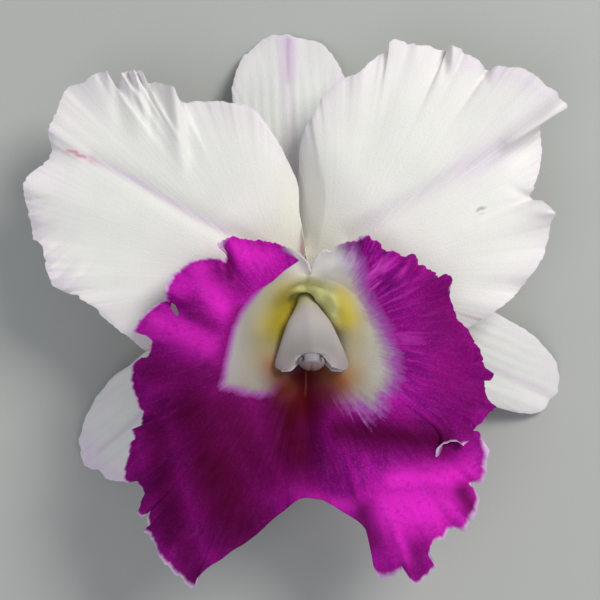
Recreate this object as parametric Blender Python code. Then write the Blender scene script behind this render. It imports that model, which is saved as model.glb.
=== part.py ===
# Cattleya orchid bloom, picked and laid face up on a flat surface.
#
# The bloom is drawn in its own flower frame, in millimetres: x to the flower's right as
# seen from the front, y up its face, z out of its face. Three sepals reach back to the
# surface, two petals spread above them, and the lip stands in front, rolled round the
# column. Blade margins are drawn as they look from VIEW_DISTANCE in front of the flower.

import math

import bmesh
import bpy
import numpy as np
from mathutils import Vector

MM = 0.001

# Driving dimensions, in millimetres
REST_DEPTH = 28.0          # from the flower's plane z = 0 back to the surface
VIEW_DISTANCE = 420.0
SPREAD_CENTRE = (-0.4, -0.1)
BLADE_EDGE = 0.75          # thickness of petals, sepals and lip at the margin
SEPAL_CLAW = 1.1
PETAL_CLAW = 1.0
LIP_CLAW = 0.9
SEPAL_TILT = 0.42          # how far a sepal's face leans out, as a slope
GAP = 0.3                  # between pieces that touch
EVEN_SHARE = 0.05          # share of a margin over which its notches are evened out inside
RAY_BOW = 1.35             # rays leave the claw along the blade and bow out to its sides

# The neck that carries every piece: a disc on top of the ovary with a short peg
NECK = (1.5, 0.2)
NECK_TOP = -9.5
NECK_RADIUS = 4.9
PEG_RADIUS = 2.0
PEG_TOP = -6.3
CLAW_REACH = 2.55          # from the neck's axis to the claw of a sepal or petal

SEPAL_ROOT = NECK_TOP + GAP + SEPAL_CLAW / 2
PETAL_ROOT = SEPAL_ROOT + SEPAL_CLAW / 2 + GAP + PETAL_CLAW / 2
LIP_ROOT = PETAL_ROOT + PETAL_CLAW / 2 + GAP + LIP_CLAW / 2
COLUMN_FOOT = PEG_TOP + GAP

# Margins: x, y as seen from the front, and how far the margin is lifted or bent back
DORSAL_MARGIN = [
    (6.3, 11, 0), (10.5, 24, -0.5), (12.8, 38, -1), (12.8, 50, -1), (10.6, 57.5, -0.5),
    (6.25, 63.25, 0), (1.5, 65.5, 0), (-2.5, 65.9, 0.8), (-6.25, 66.25, 0), (-10, 64.75, -0.5),
    (-14, 60.75, -1), (-16.5, 55.5, -1), (-17, 50.5, -1), (-15.5, 40, -1), (-11.5, 26, -0.5),
    (-5, 11, 0),
]
LEFT_SEPAL_MARGIN = [
    (-5.5, 1.3, 0), (-17, -0.5, -0.5), (-29, -6.5, -1), (-38.75, -13, -1), (-46.25, -19, -1),
    (-51.5, -25, -0.5), (-54.4, -31.5, 0), (-55.1, -37, 0.3), (-53.5, -41.5, 0), (-49.8, -44, 0.5),
    (-44.5, -45.5, 0), (-37, -43.5, -0.5), (-28, -37, -1), (-17.5, -25, -1), (-6.5, -12.5, -0.5),
    (-0.6, -6.2, 0),
]
RIGHT_SEPAL_MARGIN = [
    (4.5, -5, 0), (14, -11.5, -0.5), (27, -18.5, -1), (39, -24, -1), (49.5, -27, -1),
    (55, -28.25, 0), (60.5, -27.5, 0.8), (62.5, -24.9, 0), (64.4, -21.5, 0), (64, -15.75, 0),
    (60.5, -10.5, 0), (55, -6, -0.5), (47, -2, -1), (36, 1.5, -1), (22, 3, -0.5), (8.5, 3.5, 0),
]
LEFT_PETAL_MARGIN = [
    (0.3, 12, 2), (-0.2, 21.25, -1), (-0.5, 28.75, -2), (-2.5, 33.75, -2), (-5, 38.75, -1),
    (-8, 43.25, 0), (-12, 48, 1), (-17.5, 49.25, 1), (-23, 49.75, 0), (-29.5, 50, -1),
    (-32, 53.25, 2.6), (-35.5, 54.25, 1), (-38.5, 54.75, -1.6), (-40.5, 57.25, 2.2),
    (-44, 56.75, 0.5), (-46.75, 54.5, -2.4), (-49, 57, 1.4), (-52.5, 55.75, 0), (-58, 53, -2),
    (-60.5, 48, -1), (-63, 42.25, 0.5), (-62.25, 38, -2), (-65.5, 33, 0), (-69.25, 28.25, 2),
    (-68, 22.5, -1), (-66.5, 16, -3), (-64.25, 12, 0), (-62.25, 5, 1.5), (-58, 1.75, -1.6),
    (-53.5, -0.5, 1), (-49, -4.25, -1), (-42.5, -9.5, 1.4), (-37, -13, 0), (-28, -13.5, -1.5),
    (-15, -8.8, -1), (-4.5, -3, 1),
]
RIGHT_PETAL_MARGIN = [
    (0.9, 13.5, 0), (-0.4, 22.5, -4), (-0.1, 32, -6), (0.4, 39, -5), (2.8, 45, -3),
    (5.8, 50.5, -1), (10.5, 55, 0), (15.5, 57.5, 1), (19.5, 60.5, 0), (23, 64.5, 2.4),
    (27.5, 64.25, 1), (32.5, 63.5, 0), (36.5, 62, -1.5), (39.5, 63.25, 2), (43, 61, 1),
    (46.5, 57.75, -2), (50, 58.25, 1), (54, 58, 3), (58.5, 56.25, 4), (62.5, 53.25, 4),
    (66.75, 48.75, 5), (64.5, 46.75, 3.5), (61.75, 45, 0), (60, 41.5, -4.5), (60.5, 38, -4.5),
    (60.25, 34, -2.5), (58.5, 28, -1), (58, 25.25, -3.5), (61, 24.5, 0), (63.75, 22, 3),
    (62.25, 17.5, 0), (61.5, 12.75, -1.5), (59, 8, 1.2), (55, 2.5, -1), (50, -2, 1.6),
    (44, -5.75, -0.5), (34, -9.5, -1.5), (20, -8, -1), (7.5, -2.4, 1),
]
# The lip's margin carries its own height above the flower's plane
LIP_MARGIN = [
    (1.6, 6.8, 4.6), (0.6, 8.6, 6.4), (-0.6, 10, 8), (-4.25, 13, 9), (-9.5, 14.75, 9.5),
    (-15, 15.5, 10), (-18.5, 14.5, 13),
    (-20.75, 10.75, 10.5), (-26.25, 10, 8), (-31, 7, 9.5), (-34, 2.5, 12), (-33.75, 0, 9.5),
    (-38.5, -3.5, 7.5), (-41.75, -7.75, 8.5), (-37.75, -10.5, 11), (-38.25, -14.25, 9),
    (-41.75, -16.25, 7.5), (-42.5, -20, 9), (-41, -24.25, 11), (-39.5, -28, 9.5),
    (-40.25, -32.25, 7), (-42.25, -35.5, 8.5), (-43.75, -42, 9.5), (-43.25, -45.6, 7),
    (-40, -47, 6), (-39.75, -51, 8), (-40, -53.75, 9.5), (-38.5, -55.25, 7), (-38.5, -58, 5.5),
    (-36, -61.75, 7), (-33.25, -66.25, 7.5), (-29.25, -70, 4.5), (-26.75, -71.75, 3),
    (-24.5, -68.5, 5.5), (-19, -64, 7.5), (-13.75, -60.75, 7), (-7, -55, 9), (-1.25, -50.5, 11.5),
    (3.75, -49.75, 11.5), (9, -52, 9), (14.5, -55.25, 7), (18, -60, 6.5), (18.6, -66, 4.5),
    (21.25, -69.6, 2.5), (25.5, -67.25, 6), (29, -71, 3.5), (34, -66.75, 4.5), (32.5, -63.25, 7.5),
    (35.5, -59.75, 6.5), (38.75, -57.1, 4.5), (42, -56.25, 6), (44.5, -51, 8), (43, -46.4, 5),
    (46, -44.5, 5), (47.25, -37.75, 7), (44.25, -32.25, 6.5), (49, -26.75, 13), (46.25, -21.5, 10),
    (48.25, -18.75, 8), (45.75, -14.5, 10), (42.5, -8.75, 12), (39, -4.5, 9.5), (37.5, 1, 8),
    (37.75, 5.5, 11.5), (33.75, 6.75, 9), (29.25, 9.5, 7.5), (27.75, 11.25, 10), (23, 12, 11.5),
    (19, 15, 9.5), (16.5, 16.1, 12), (12.5, 14.5, 12), (7.5, 12.5, 9.5),
    (5.4, 11.4, 8.6), (4, 9.2, 7), (3, 7.4, 5.2),
]

# Column, from its foot on the peg to its hooded tip
COLUMN_PATH = [
    (1.6, 0.3, COLUMN_FOOT), (1.65, 0, -3.2), (1.8, -1.8, 1.5), (2.3, -6.2, 8), (2.7, -11.8, 13.2),
    (2.9, -16.4, 17),
]
COLUMN_HALF_WIDTH = [(0, 2.2), (0.2, 2.4), (0.36, 3.5), (0.5, 5.2), (0.65, 6.6), (0.8, 8.1),
                     (0.9, 9.0), (0.96, 8.8), (1, 7.4)]
COLUMN_TOP = [(0, 1.5), (0.3, 2.2), (0.6, 3.2), (0.85, 2.6), (1, 1.3)]
COLUMN_UNDER = [(0, 2.2), (0.3, 2.3), (0.6, 2.2), (0.85, 1.8), (1, 0.8)]
COLUMN_ARCH = 0.022        # how its sides fall away from its ridge, per square millimetre
NOTCH_START = 0.89         # how far along the column the anther's notch begins
NOTCH_HALF = 4.0
NOTCH_SLOPE = 1.7
NOTCH_STEP = 0.1           # share of the way to the tip that the notch's floor still goes
NOTCH_FLOOR = NOTCH_START + NOTCH_STEP * (1 - NOTCH_START)
COLUMN_SIDES = 24
ANTHER_HALF = (3.2, 2.2)   # across the column, and through it
ANTHER_HEIGHT = 3.0
ANTHER_WALL = 0.8
POLLINIUM = (0.62, 0.5, 0.95)
POLLEN_FACETS = 1

# Ovary and stalk: centre line with radius, ending in the cut
STALK_PATH = [
    (1.5, 0.2, NECK_TOP, NECK_RADIUS), (1.5, 0.2, -11, 4.4), (1.5, -0.2, -13.5, 3.7),
    (1.7, -2.4, -17.6, 3.7), (2.1, -6.8, -21.4, 3.7), (2.6, -12.7, -23.7, 3.5),
    (3.0, -19.7, -24.6, 3.1), (3.2, -28, -25, 2.7), (3.0, -37, -25.2, 2.5),
    (2.4, -45, -25.3, 2.4), (1.6, -53, -25.3, 2.4),
]
STALK_SIDES = 18

RIM_CENTRE = (1.5, -9.6)   # mouth of the lip's tube, an ellipse round the column
RIM_HALF = (16.8, 15.7)
RIM_TOP = 4.5              # height of the mouth's rim above the column, and its rise below
RIM_RISE = 9.5
RIM_FLOOR_DIP = 2.5
TUBE_FOOT_RADIUS = 3.9     # the tube's foot, a ring round the column's foot
LIP_BELLY = 3.2
LIP_GROOVE = 2.6


def clear_scene():
    for item in list(bpy.data.objects):
        bpy.data.objects.remove(item, do_unlink=True)


def finish(name, colour, roughness):
    """A plain material for one piece: colour (linear) and roughness."""
    material = bpy.data.materials.new(name)
    material.use_nodes = True
    shader = material.node_tree.nodes["Principled BSDF"]
    shader.inputs["Base Color"].default_value = (*colour, 1)
    shader.inputs["Roughness"].default_value = roughness
    shader.inputs["Metallic"].default_value = 0
    material.diffuse_color = (*colour, 1)
    return material


def curve_through(points, steps, even_by=2):
    """Even steps along a smooth curve through the points."""
    given = np.array(points, float)
    ends = np.vstack([2 * given[0] - given[1], given, 2 * given[-1] - given[-2]])
    u = np.linspace(0, 1, 12, endpoint=False)[:, None]
    runs = []
    for a, b, c, d in zip(ends, ends[1:], ends[2:], ends[3:]):
        runs.append(b + (c - a) * u / 2 + (2 * a - 5 * b + 4 * c - d) * u**2 / 2
                    + (3 * b - a - 3 * c + d) * u**3 / 2)
    fine = np.vstack(runs + [given[-1:]])
    lengths = np.linalg.norm(np.diff(fine[:, :even_by], axis=0), axis=1)
    along = np.concatenate([[0], np.cumsum(lengths)])
    stops = np.linspace(0, along[-1], steps + 1)
    return np.column_stack([np.interp(stops, along, column) for column in fine.T])


def evened(values, share):
    """The same run of values with its short waves smoothed out and its ends kept."""
    count = len(values)
    reach = max(int(share * count), 1)
    weights = np.exp(-(np.arange(-2 * reach, 2 * reach + 1) / reach) ** 2)
    weights /= weights.sum()
    flat = values.reshape(count, -1)
    ahead = 2 * flat[0] - flat[2 * reach:0:-1]
    behind = 2 * flat[-1] - flat[-2:-2 * reach - 2:-1]
    padded = np.concatenate([ahead, flat, behind])
    columns = [np.convolve(column, weights, mode="valid") for column in padded.T]
    return np.stack(columns, axis=-1).reshape(values.shape)


def as_seen(x, y, z):
    """Real place of a point drawn where it is seen from the front."""
    nearer = 1 - z / VIEW_DISTANCE
    return np.stack([x * nearer, y * nearer, z + 0 * x], axis=-1)


def to_world(points):
    """From the flower frame in millimetres to metres above the surface."""
    moved = np.array(points, float)
    moved[..., 0] -= SPREAD_CENTRE[0]
    moved[..., 1] -= SPREAD_CENTRE[1]
    moved[..., 2] += REST_DEPTH
    return moved * MM


def add_object(name, vertices, faces, material):
    mesh = bpy.data.meshes.new(name)
    mesh.from_pydata([tuple(p) for p in to_world(vertices)], [], faces)
    edit = bmesh.new()
    edit.from_mesh(mesh)
    bmesh.ops.recalc_face_normals(edit, faces=edit.faces)
    edit.to_mesh(mesh)
    edit.free()
    mesh.shade_smooth()
    mesh.set_sharp_from_angle(angle=math.radians(50))
    mesh.materials.append(material)
    item = bpy.data.objects.new(name, mesh)
    bpy.context.collection.objects.link(item)
    return item


def surface_normals(grid):
    """Unit normals of a grid of points, turned to the front."""
    down = np.gradient(grid, axis=0)
    across = np.gradient(grid, axis=1)
    normal = np.cross(down, across)
    normal /= np.linalg.norm(normal, axis=-1, keepdims=True)
    padded = np.pad(normal, ((0, 0), (1, 1), (0, 0)), mode="edge")
    normal = padded[:, :-2] + 2 * padded[:, 1:-1] + padded[:, 2:]
    normal /= np.linalg.norm(normal, axis=-1, keepdims=True)
    return normal if normal[..., 2].mean() > 0 else -normal


def half_through(grid, thickness, facing):
    """Half the blade's thickness, all one way, so that its two faces never cross."""
    facing = np.array(facing) / np.linalg.norm(facing)
    slope = np.clip(surface_normals(grid) @ facing, 0.65, 1)
    return facing * (thickness / slope)[..., None] / 2


def blade(name, grid, half, material):
    """A closed blade round a grid of points, split alike on both faces."""
    rows, columns = grid.shape[:2]
    vertices = np.concatenate([(grid + half).reshape(-1, 3), (grid - half).reshape(-1, 3)])
    back = rows * columns

    def at(row, column):
        return row * columns + column

    faces = []
    for i in range(rows - 1):
        for j in range(columns - 1):
            a, b, c, d = at(i, j), at(i, j + 1), at(i + 1, j + 1), at(i + 1, j)
            for p, q, r in ((a, b, c), (a, c, d)):
                faces.append((p, q, r))
                faces.append((back + r, back + q, back + p))
    edge = [at(0, j) for j in range(columns)]
    edge += [at(i, columns - 1) for i in range(1, rows)]
    edge += [at(rows - 1, j) for j in range(columns - 2, -1, -1)]
    edge += [at(i, 0) for i in range(rows - 2, 0, -1)]
    for p, q in zip(edge, edge[1:] + edge[:1]):
        faces.append((q, p, back + p))
        faces.append((q, back + p, back + q))
    return add_object(name, vertices, faces, material)


def loft(name, rings, material):
    """A closed body through rings of equal count, closed at both ends."""
    rings = np.array(rings)
    count, sides = rings.shape[:2]
    vertices = np.concatenate([rings.reshape(-1, 3), rings[:1].mean(axis=1), rings[-1:].mean(axis=1)])
    first, last = count * sides, count * sides + 1
    faces = []
    for k in range(sides):
        nxt = (k + 1) % sides
        faces.append((first, nxt, k))
        faces.append((last, (count - 1) * sides + k, (count - 1) * sides + nxt))
        for i in range(count - 1):
            a, b = i * sides + k, i * sides + nxt
            faces.append((a, b, b + sides))
            faces.append((a, b + sides, a + sides))
    return add_object(name, vertices, faces, material)


def smooth(value, start, end):
    """0 before start, 1 after end, and an even bend between."""
    u = np.clip((value - start) / (end - start), 0, 1)
    return u * u * (3 - 2 * u)


def crease(x, y, outer, inner, width, height):
    """A fold from the margin at outer, fading out at inner."""
    ox, oy = outer
    dx, dy = inner[0] - ox, inner[1] - oy
    length = math.hypot(dx, dy)
    along = ((x - ox) * dx + (y - oy) * dy) / length**2
    aside = ((x - ox) * dy - (y - oy) * dx) / length
    spread = width * (0.75 + 0.5 * np.clip(along, 0, 1))
    return height * np.exp(-(aside / spread) ** 2) * (1 - smooth(along, 0.05, 1))


def fan(margin, heading, root_height, root_half, rows, columns):
    """Rays from a blade's claw to its margin: plan x and y, ray length r and margin lift."""
    edge = curve_through(margin, columns)
    turn = math.radians(heading)
    out = np.array([math.cos(turn), math.sin(turn)])
    side = np.array([-out[1], out[0]])
    middle = np.array(NECK) + CLAW_REACH * out
    first = edge[0, :2] - middle
    sign = 1 if first @ side > 0 else -1
    spot = sign * root_half * np.linspace(1, -1, columns + 1)
    r = np.linspace(0, 1, rows + 1)[:, None] ** 0.9
    even = evened(edge[:, :2], EVEN_SHARE)
    detail = edge[:, :2] - even
    reach = (even - middle) @ out * r + detail @ out * r**4
    aside = spot + ((even - middle) @ side - spot) * r**RAY_BOW + detail @ side * r**4
    centre = middle * (1 + root_height / VIEW_DISTANCE * (1 - r[..., None]))
    x = centre[..., 0] + out[0] * reach + side[0] * aside
    y = centre[..., 1] + out[1] * reach + side[1] * aside
    return x, y, r, edge[:, 2], reach, aside


def claw_thickness(r, claw):
    return BLADE_EDGE + (claw - BLADE_EDGE) * (1 - smooth(r, 0, 0.5))


def make_sepal(name, margin, heading, length, material):
    """One sepal, bent back until its tip just meets the surface."""
    x, y, r, lift, reach, aside = fan(margin, heading, SEPAL_ROOT, 2.3, 9, 22)
    way = np.clip(reach / length, 0, 1.2)
    channel = -0.8 * np.exp(-(aside / 2.2) ** 2) * smooth(way, 0.03, 0.3) * (1 - way / 1.3)
    z = SEPAL_ROOT + channel + lift * r**3
    turn = math.radians(heading)
    facing = (SEPAL_TILT * math.cos(turn), SEPAL_TILT * math.sin(turn), 1)
    drop = REST_DEPTH + SEPAL_ROOT
    for _ in range(4):
        bent = as_seen(x, y, z - drop * way**2.4)
        half = half_through(bent, claw_thickness(r, SEPAL_CLAW), facing)
        drop += (bent - half)[..., 2].min() + REST_DEPTH
    return blade(name, as_seen(x, y, z - drop * way**2.4), half, material)


def make_petal(name, margin, heading, creases, material):
    """One petal: it rises from the claw, spreads flat and waves at the margin."""
    x, y, r, lift, reach, aside = fan(margin, heading, PETAL_ROOT, 2.3, 12, 48)
    rise = -PETAL_ROOT * smooth(reach, -2, 26)
    fall = -3.2 * np.clip((reach - 24) / 50, 0, 2) ** 2
    midrib = -1.0 * np.exp(-(aside / 2.6) ** 2) * smooth(reach, 4, 20) * (1 - smooth(reach, 45, 72))
    z = PETAL_ROOT + rise + fall + midrib + lift * r**4
    for outer, inner, width, height in creases:
        z = z + crease(x, y, outer, inner, width, height)
    grid = as_seen(x, y, z)
    half = half_through(grid, claw_thickness(r, PETAL_CLAW), (0, 0, 1))
    return blade(name, grid, half, material)


def lip_grid(rows, columns):
    """The lip from the foot of its tube, over the mouth's rim, to its waved margin."""
    edge = curve_through(LIP_MARGIN, columns)
    even = evened(edge[:, :2], 0.7 * EVEN_SHARE)
    cx, cy = RIM_CENTRE
    angle = evened(np.unwrap(np.arctan2(edge[:, 1] - cy, edge[:, 0] - cx)), EVEN_SHARE)
    rim_x = cx + RIM_HALF[0] * np.cos(angle)
    rim_y = cy + RIM_HALF[1] * np.sin(angle)
    low = (1 - np.sin(angle)) / 2              # 0 at the top of the mouth, 1 at its floor
    rim_z = RIM_TOP + RIM_RISE * np.sqrt(low) - RIM_FLOOR_DIP * low**3
    foot = 1 + LIP_ROOT / VIEW_DISTANCE
    foot_x = (NECK[0] + TUBE_FOOT_RADIUS * np.cos(angle)) * foot
    foot_y = (NECK[1] + TUBE_FOOT_RADIUS * np.sin(angle)) * foot
    tube = np.hypot(np.hypot(rim_x - foot_x, rim_y - foot_y), rim_z - LIP_ROOT)
    lobe = np.hypot(even[:, 0] - rim_x, even[:, 1] - rim_y)
    split = tube / (tube + np.maximum(lobe, 1))
    r = np.linspace(0, 1, rows + 1)[:, None]
    q = np.clip(r / split, 0, 1)
    p = np.clip((r - split) / (1 - split), 0, 1)
    flare = q ** (1.5 - 0.3 * low**2)
    climb = (np.sin(0.4 * math.pi * q) / math.sin(0.4 * math.pi)) ** (1 + 0.25 * low**2)
    x = foot_x + (rim_x - foot_x) * flare + (even[:, 0] - rim_x) * p
    y = foot_y + (rim_y - foot_y) * flare + (even[:, 1] - rim_y) * p
    x = x + (edge[:, 0] - even[:, 0]) * p**3
    y = y + (edge[:, 1] - even[:, 1]) * p**3
    swell = LIP_BELLY * np.clip(lobe / 24, 0, 1.7) * np.sin(math.pi * p)
    z = LIP_ROOT + (rim_z - LIP_ROOT) * climb + swell + (edge[:, 2] - rim_z) * p**1.7
    groove = np.exp(-((x - 1) / 3.6) ** 2) * smooth(-y, 14, 26) * (1 - smooth(-y, 34, 52))
    z = z - LIP_GROOVE * groove
    return as_seen(x, y, z), r


def make_lip(material):
    grid, r = lip_grid(15, 84)
    half = surface_normals(grid) * claw_thickness(r, LIP_CLAW)[..., None] / 2
    return blade("lip", grid, half, material)


def read_off(pairs, at):
    """A value between listed stations, eased at each of them."""
    places = [place for place, _ in pairs]
    values = [value for _, value in pairs]
    return float(np.interp(at, places, values))


def column_axis():
    """A place and frame at any share of the column's length."""
    line = curve_through(COLUMN_PATH, 100, even_by=3)

    def place(share):
        exact = np.clip(share, 0, 1) * 100
        low = min(int(exact), 99)
        point = line[low] + (line[low + 1] - line[low]) * (exact - low)
        heading = line[min(low + 3, 100)] - line[max(low - 3, 0)]
        if share < 0.08:
            heading = np.array([0, -8 * share, 1.0])
        heading = heading / np.linalg.norm(heading)
        front = np.cross(heading, (1, 0, 0))
        return point, heading, front / np.linalg.norm(front)

    return place


def column_ring(place, share):
    """One ring of the column, with the middle held back where the notch is."""
    before = read_off(COLUMN_HALF_WIDTH, min(share, NOTCH_START))
    past = read_off(COLUMN_HALF_WIDTH, share) - before
    beyond = max(share - NOTCH_START, 0)
    ring = []
    for k in range(COLUMN_SIDES):
        turn = 2 * math.pi * k / COLUMN_SIDES
        aside = before * math.cos(turn)
        wing = float(smooth(abs(aside), NOTCH_HALF, NOTCH_HALF + NOTCH_SLOPE))
        free = NOTCH_STEP + (1 - NOTCH_STEP) * wing
        aside += past * free * math.cos(turn)
        at = min(share, NOTCH_START) + beyond * free
        height = COLUMN_TOP if math.sin(turn) > 0 else COLUMN_UNDER
        depth = read_off(height, at) * math.sin(turn)
        droop = -COLUMN_ARCH * aside**2 * float(smooth(share, 0.5, 0.9))
        point, _, front = place(at)
        ring.append(point + np.array([aside, 0, 0]) + front * (depth + droop))
    return ring


def make_column(material):
    """The hooded column: narrow at the foot, winged at the tip."""
    place = column_axis()
    shares = [0, 0.06, 0.13, 0.21, 0.3, 0.4, 0.5, 0.6, 0.7, 0.8, NOTCH_START, 0.915, 0.945, 0.97, 1]
    rings = [column_ring(place, share) for share in shares]
    inner = []
    point, _, front = place(NOTCH_FLOOR)
    for k in range(COLUMN_SIDES):
        turn = 2 * math.pi * k / COLUMN_SIDES
        across = np.array([NOTCH_HALF * math.cos(turn), 0, 0])
        height = COLUMN_TOP if math.sin(turn) > 0 else COLUMN_UNDER
        inner.append(point + across + front * 0.86 * read_off(height, NOTCH_START) * math.sin(turn))
    rings.append(inner)
    return loft("column", rings, material)


def anther_frame():
    """Where the anther cap sits: on the floor of the notch, facing along the column."""
    point, heading, front = column_axis()(NOTCH_FLOOR)
    return point + heading * GAP, heading, front


def make_anther_cap(material):
    """A domed cap, hollow underneath, over the pollen masses."""
    base, heading, front = anther_frame()
    across = np.array([1.0, 0, 0])
    half_x, half_y = ANTHER_HALF

    def ring(lat, inset):
        shrink = math.cos(lat)
        rise = (ANTHER_HEIGHT - inset) * math.sin(lat)
        points = []
        for k in range(18):
            turn = 2 * math.pi * k / 18
            step = across * (half_x - inset) * shrink * math.cos(turn)
            step = step + front * (half_y - inset) * shrink * math.sin(turn)
            points.append(base + step + heading * rise)
        return points

    outer = [ring(math.radians(lat), 0) for lat in (80, 60, 40, 20, 0)]
    hollow = [ring(math.radians(lat), ANTHER_WALL) for lat in (0, 25, 50, 75)]
    return loft("anther_cap", outer + hollow, material)


def make_pollinia(material):
    """Four pollen masses on one short strap, inside the cap."""
    base, heading, front = anther_frame()
    turn = Vector(heading).to_track_quat("Z", "Y").to_matrix().to_4x4()

    def ball(name, centre, size):
        edit = bmesh.new()
        bmesh.ops.create_icosphere(edit, subdivisions=POLLEN_FACETS, radius=MM)
        for vertex in edit.verts:
            vertex.co = (turn @ Vector([vertex.co[k] * size[k] for k in range(3)]))
            vertex.co += Vector(to_world(centre))
        mesh = bpy.data.meshes.new(name)
        edit.to_mesh(mesh)
        edit.free()
        item = bpy.data.objects.new(name, mesh)
        bpy.context.collection.objects.link(item)
        return item

    masses = bpy.data.collections.new("pollen masses")
    bpy.context.scene.collection.children.link(masses)
    strap = ball("pollinia", base + heading * 0.55, (0.9, 0.45, 0.3))
    for x_side in (-1, 1):
        for front_side in (-1, 1):
            centre = base + heading * 1.1 + front * 0.42 * front_side
            centre = centre + np.array([0.62 * x_side, 0, 0])
            mass = ball("pollen mass", centre, POLLINIUM)
            mass.hide_render = True
            mass.display_type = "WIRE"
            bpy.context.collection.objects.unlink(mass)
            masses.objects.link(mass)
    join = strap.modifiers.new("masses", "BOOLEAN")
    join.operation = "UNION"
    join.operand_type = "COLLECTION"
    join.collection = masses
    join.solver = "EXACT"
    strap.data.materials.append(material)
    return strap


def make_ovary_stem(material):
    """The ribbed ovary behind the flower, bending into its cut stalk."""
    line = curve_through(STALK_PATH, 20, even_by=3)
    rings = []

    def ring(centre, radius, across, down, ribs):
        points = []
        for k in range(STALK_SIDES):
            turn = 2 * math.pi * k / STALK_SIDES
            reach = radius * (1 + ribs * math.cos(6 * turn))
            points.append(centre + across * reach * math.cos(turn) + down * reach * math.sin(turn))
        return points

    across, down = np.array([1.0, 0, 0]), np.array([0, 1.0, 0])
    top = np.array([*NECK, PEG_TOP])
    foot = np.array([*NECK, NECK_TOP])
    rings.append(ring(top, PEG_RADIUS, across, down, 0))
    rings.append(ring(foot, PEG_RADIUS, across, down, 0))
    for i, (x, y, z, radius) in enumerate(line):
        nearby = line[min(i + 1, 20), :3] - line[max(i - 1, 0), :3]
        if i == 0:
            nearby = np.array([0, 0, -1.0])
        heading = nearby / np.linalg.norm(nearby)
        side = np.cross((1, 0, 0), heading)
        side /= np.linalg.norm(side)
        ribs = 0.045 * float(smooth(i, 1, 5)) * (1 - float(smooth(i, 9, 14)))
        rings.append(ring(np.array([x, y, z]), radius, across, side, ribs))
    return loft("ovary_stem", rings, material)


def build():
    clear_scene()
    white = finish("petal_white", (0.86, 0.87, 0.85), 0.55)
    sepal_white = finish("sepal_white", (0.8, 0.82, 0.78), 0.55)
    magenta = finish("lip_magenta", (0.45, 0.01, 0.38), 0.5)
    lilac = finish("column_lilac_white", (0.62, 0.55, 0.6), 0.45)
    cap = finish("anther_cap_white", (0.72, 0.66, 0.66), 0.4)
    pollen = finish("pollen_yellow", (0.75, 0.52, 0.06), 0.5)
    green = finish("stalk_green", (0.2, 0.33, 0.09), 0.5)

    make_sepal("dorsal_sepal", DORSAL_MARGIN, 93, 60, sepal_white)
    make_sepal("left_sepal", LEFT_SEPAL_MARGIN, 220, 67, sepal_white)
    make_sepal("right_sepal", RIGHT_SEPAL_MARGIN, 337, 64, sepal_white)
    left_creases = [((-32, 54), (-28, 24), 2.2, 1.6), ((-38, 55.5), (-31, 28), 2.0, -1.2),
                    ((-42, 57.5), (-33, 30), 2.0, 1.2), ((-47, 55), (-36, 32), 2.0, -1.3),
                    ((-60, 2), (-50, 13), 2.0, 1.0)]
    make_petal("left_petal", LEFT_PETAL_MARGIN, 151, left_creases, white)
    right_creases = [((37, 62.5), (31, 46), 1.6, -1.2), ((47, 58), (40, 46), 1.5, -1.2),
                     ((63, 47), (46, 33), 2.4, 1.6)]
    make_petal("right_petal", RIGHT_PETAL_MARGIN, 34, right_creases, white)
    make_lip(magenta)
    make_column(lilac)
    make_anther_cap(cap)
    make_pollinia(pollen)
    make_ovary_stem(green)


build()
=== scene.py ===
import math

import bmesh
import bpy
import numpy as np
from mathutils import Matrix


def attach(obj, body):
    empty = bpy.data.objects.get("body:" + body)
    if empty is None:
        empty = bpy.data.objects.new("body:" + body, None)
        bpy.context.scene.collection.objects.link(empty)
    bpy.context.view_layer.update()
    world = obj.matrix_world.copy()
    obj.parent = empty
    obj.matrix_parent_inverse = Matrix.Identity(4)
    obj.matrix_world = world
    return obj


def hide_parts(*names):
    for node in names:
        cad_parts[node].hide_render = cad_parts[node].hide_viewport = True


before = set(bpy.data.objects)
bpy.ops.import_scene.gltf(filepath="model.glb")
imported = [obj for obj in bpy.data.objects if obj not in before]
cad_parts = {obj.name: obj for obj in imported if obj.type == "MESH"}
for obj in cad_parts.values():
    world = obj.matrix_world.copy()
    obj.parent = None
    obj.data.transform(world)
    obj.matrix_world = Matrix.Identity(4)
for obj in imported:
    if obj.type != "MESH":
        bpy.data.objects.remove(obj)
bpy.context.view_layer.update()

# The ovary and its stalk: one green fleshy stem. It has six shallow ribs behind the flower,
# turns level where the bloom lies down, and ends in the plain cut of a blade. Its top is a
# disc with a short peg, which all the other pieces grow from.
MM = 0.001
REST_DEPTH = 28.0          # from the flower's plane z = 0 back to the surface
SPREAD_CENTRE = (-0.4, -0.1)   # middle of the flower's outline, which stands over the origin
NECK = (1.5, 0.2)          # middle of the disc
NECK_TOP = -9.5
PEG_RADIUS, PEG_TOP = 2.0, -6.3
STALK_LINE = [             # x, y, z and radius
    (1.5, 0.2, NECK_TOP, 4.9), (1.5, 0.2, -11, 4.4), (1.5, -0.2, -13.5, 3.7),
    (1.7, -2.4, -17.6, 3.7), (2.1, -6.8, -21.4, 3.7), (2.6, -12.7, -23.7, 3.5),
    (3.0, -19.7, -24.6, 3.1), (3.2, -28, -25, 2.7), (3.0, -37, -25.2, 2.5),
    (2.4, -45, -25.3, 2.4), (1.7, -52.2, -25.3, 2.4),
]
STALK_STEPS, STALK_SIDES = 150, 72
RIB_COUNT, RIB_SHARE = 6, 0.045    # this share and the next two are of the stem's radius
KNOB_SHARE = 0.012
CUT_ROLL_SHARE = 0.07
CUT_DISH = 0.25            # the pulp of the cut has shrunk in by this much
CUT_RINGS = (0.8, 0.5, 0.2)


def colour(hex_code):
    """A linear colour from its sRGB hex value."""
    parts = [int(hex_code[k:k + 2], 16) / 255 for k in (1, 3, 5)]
    return tuple(c / 12.92 if c <= 0.04045 else ((c + 0.055) / 1.055) ** 2.4 for c in parts) + (1,)


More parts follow.
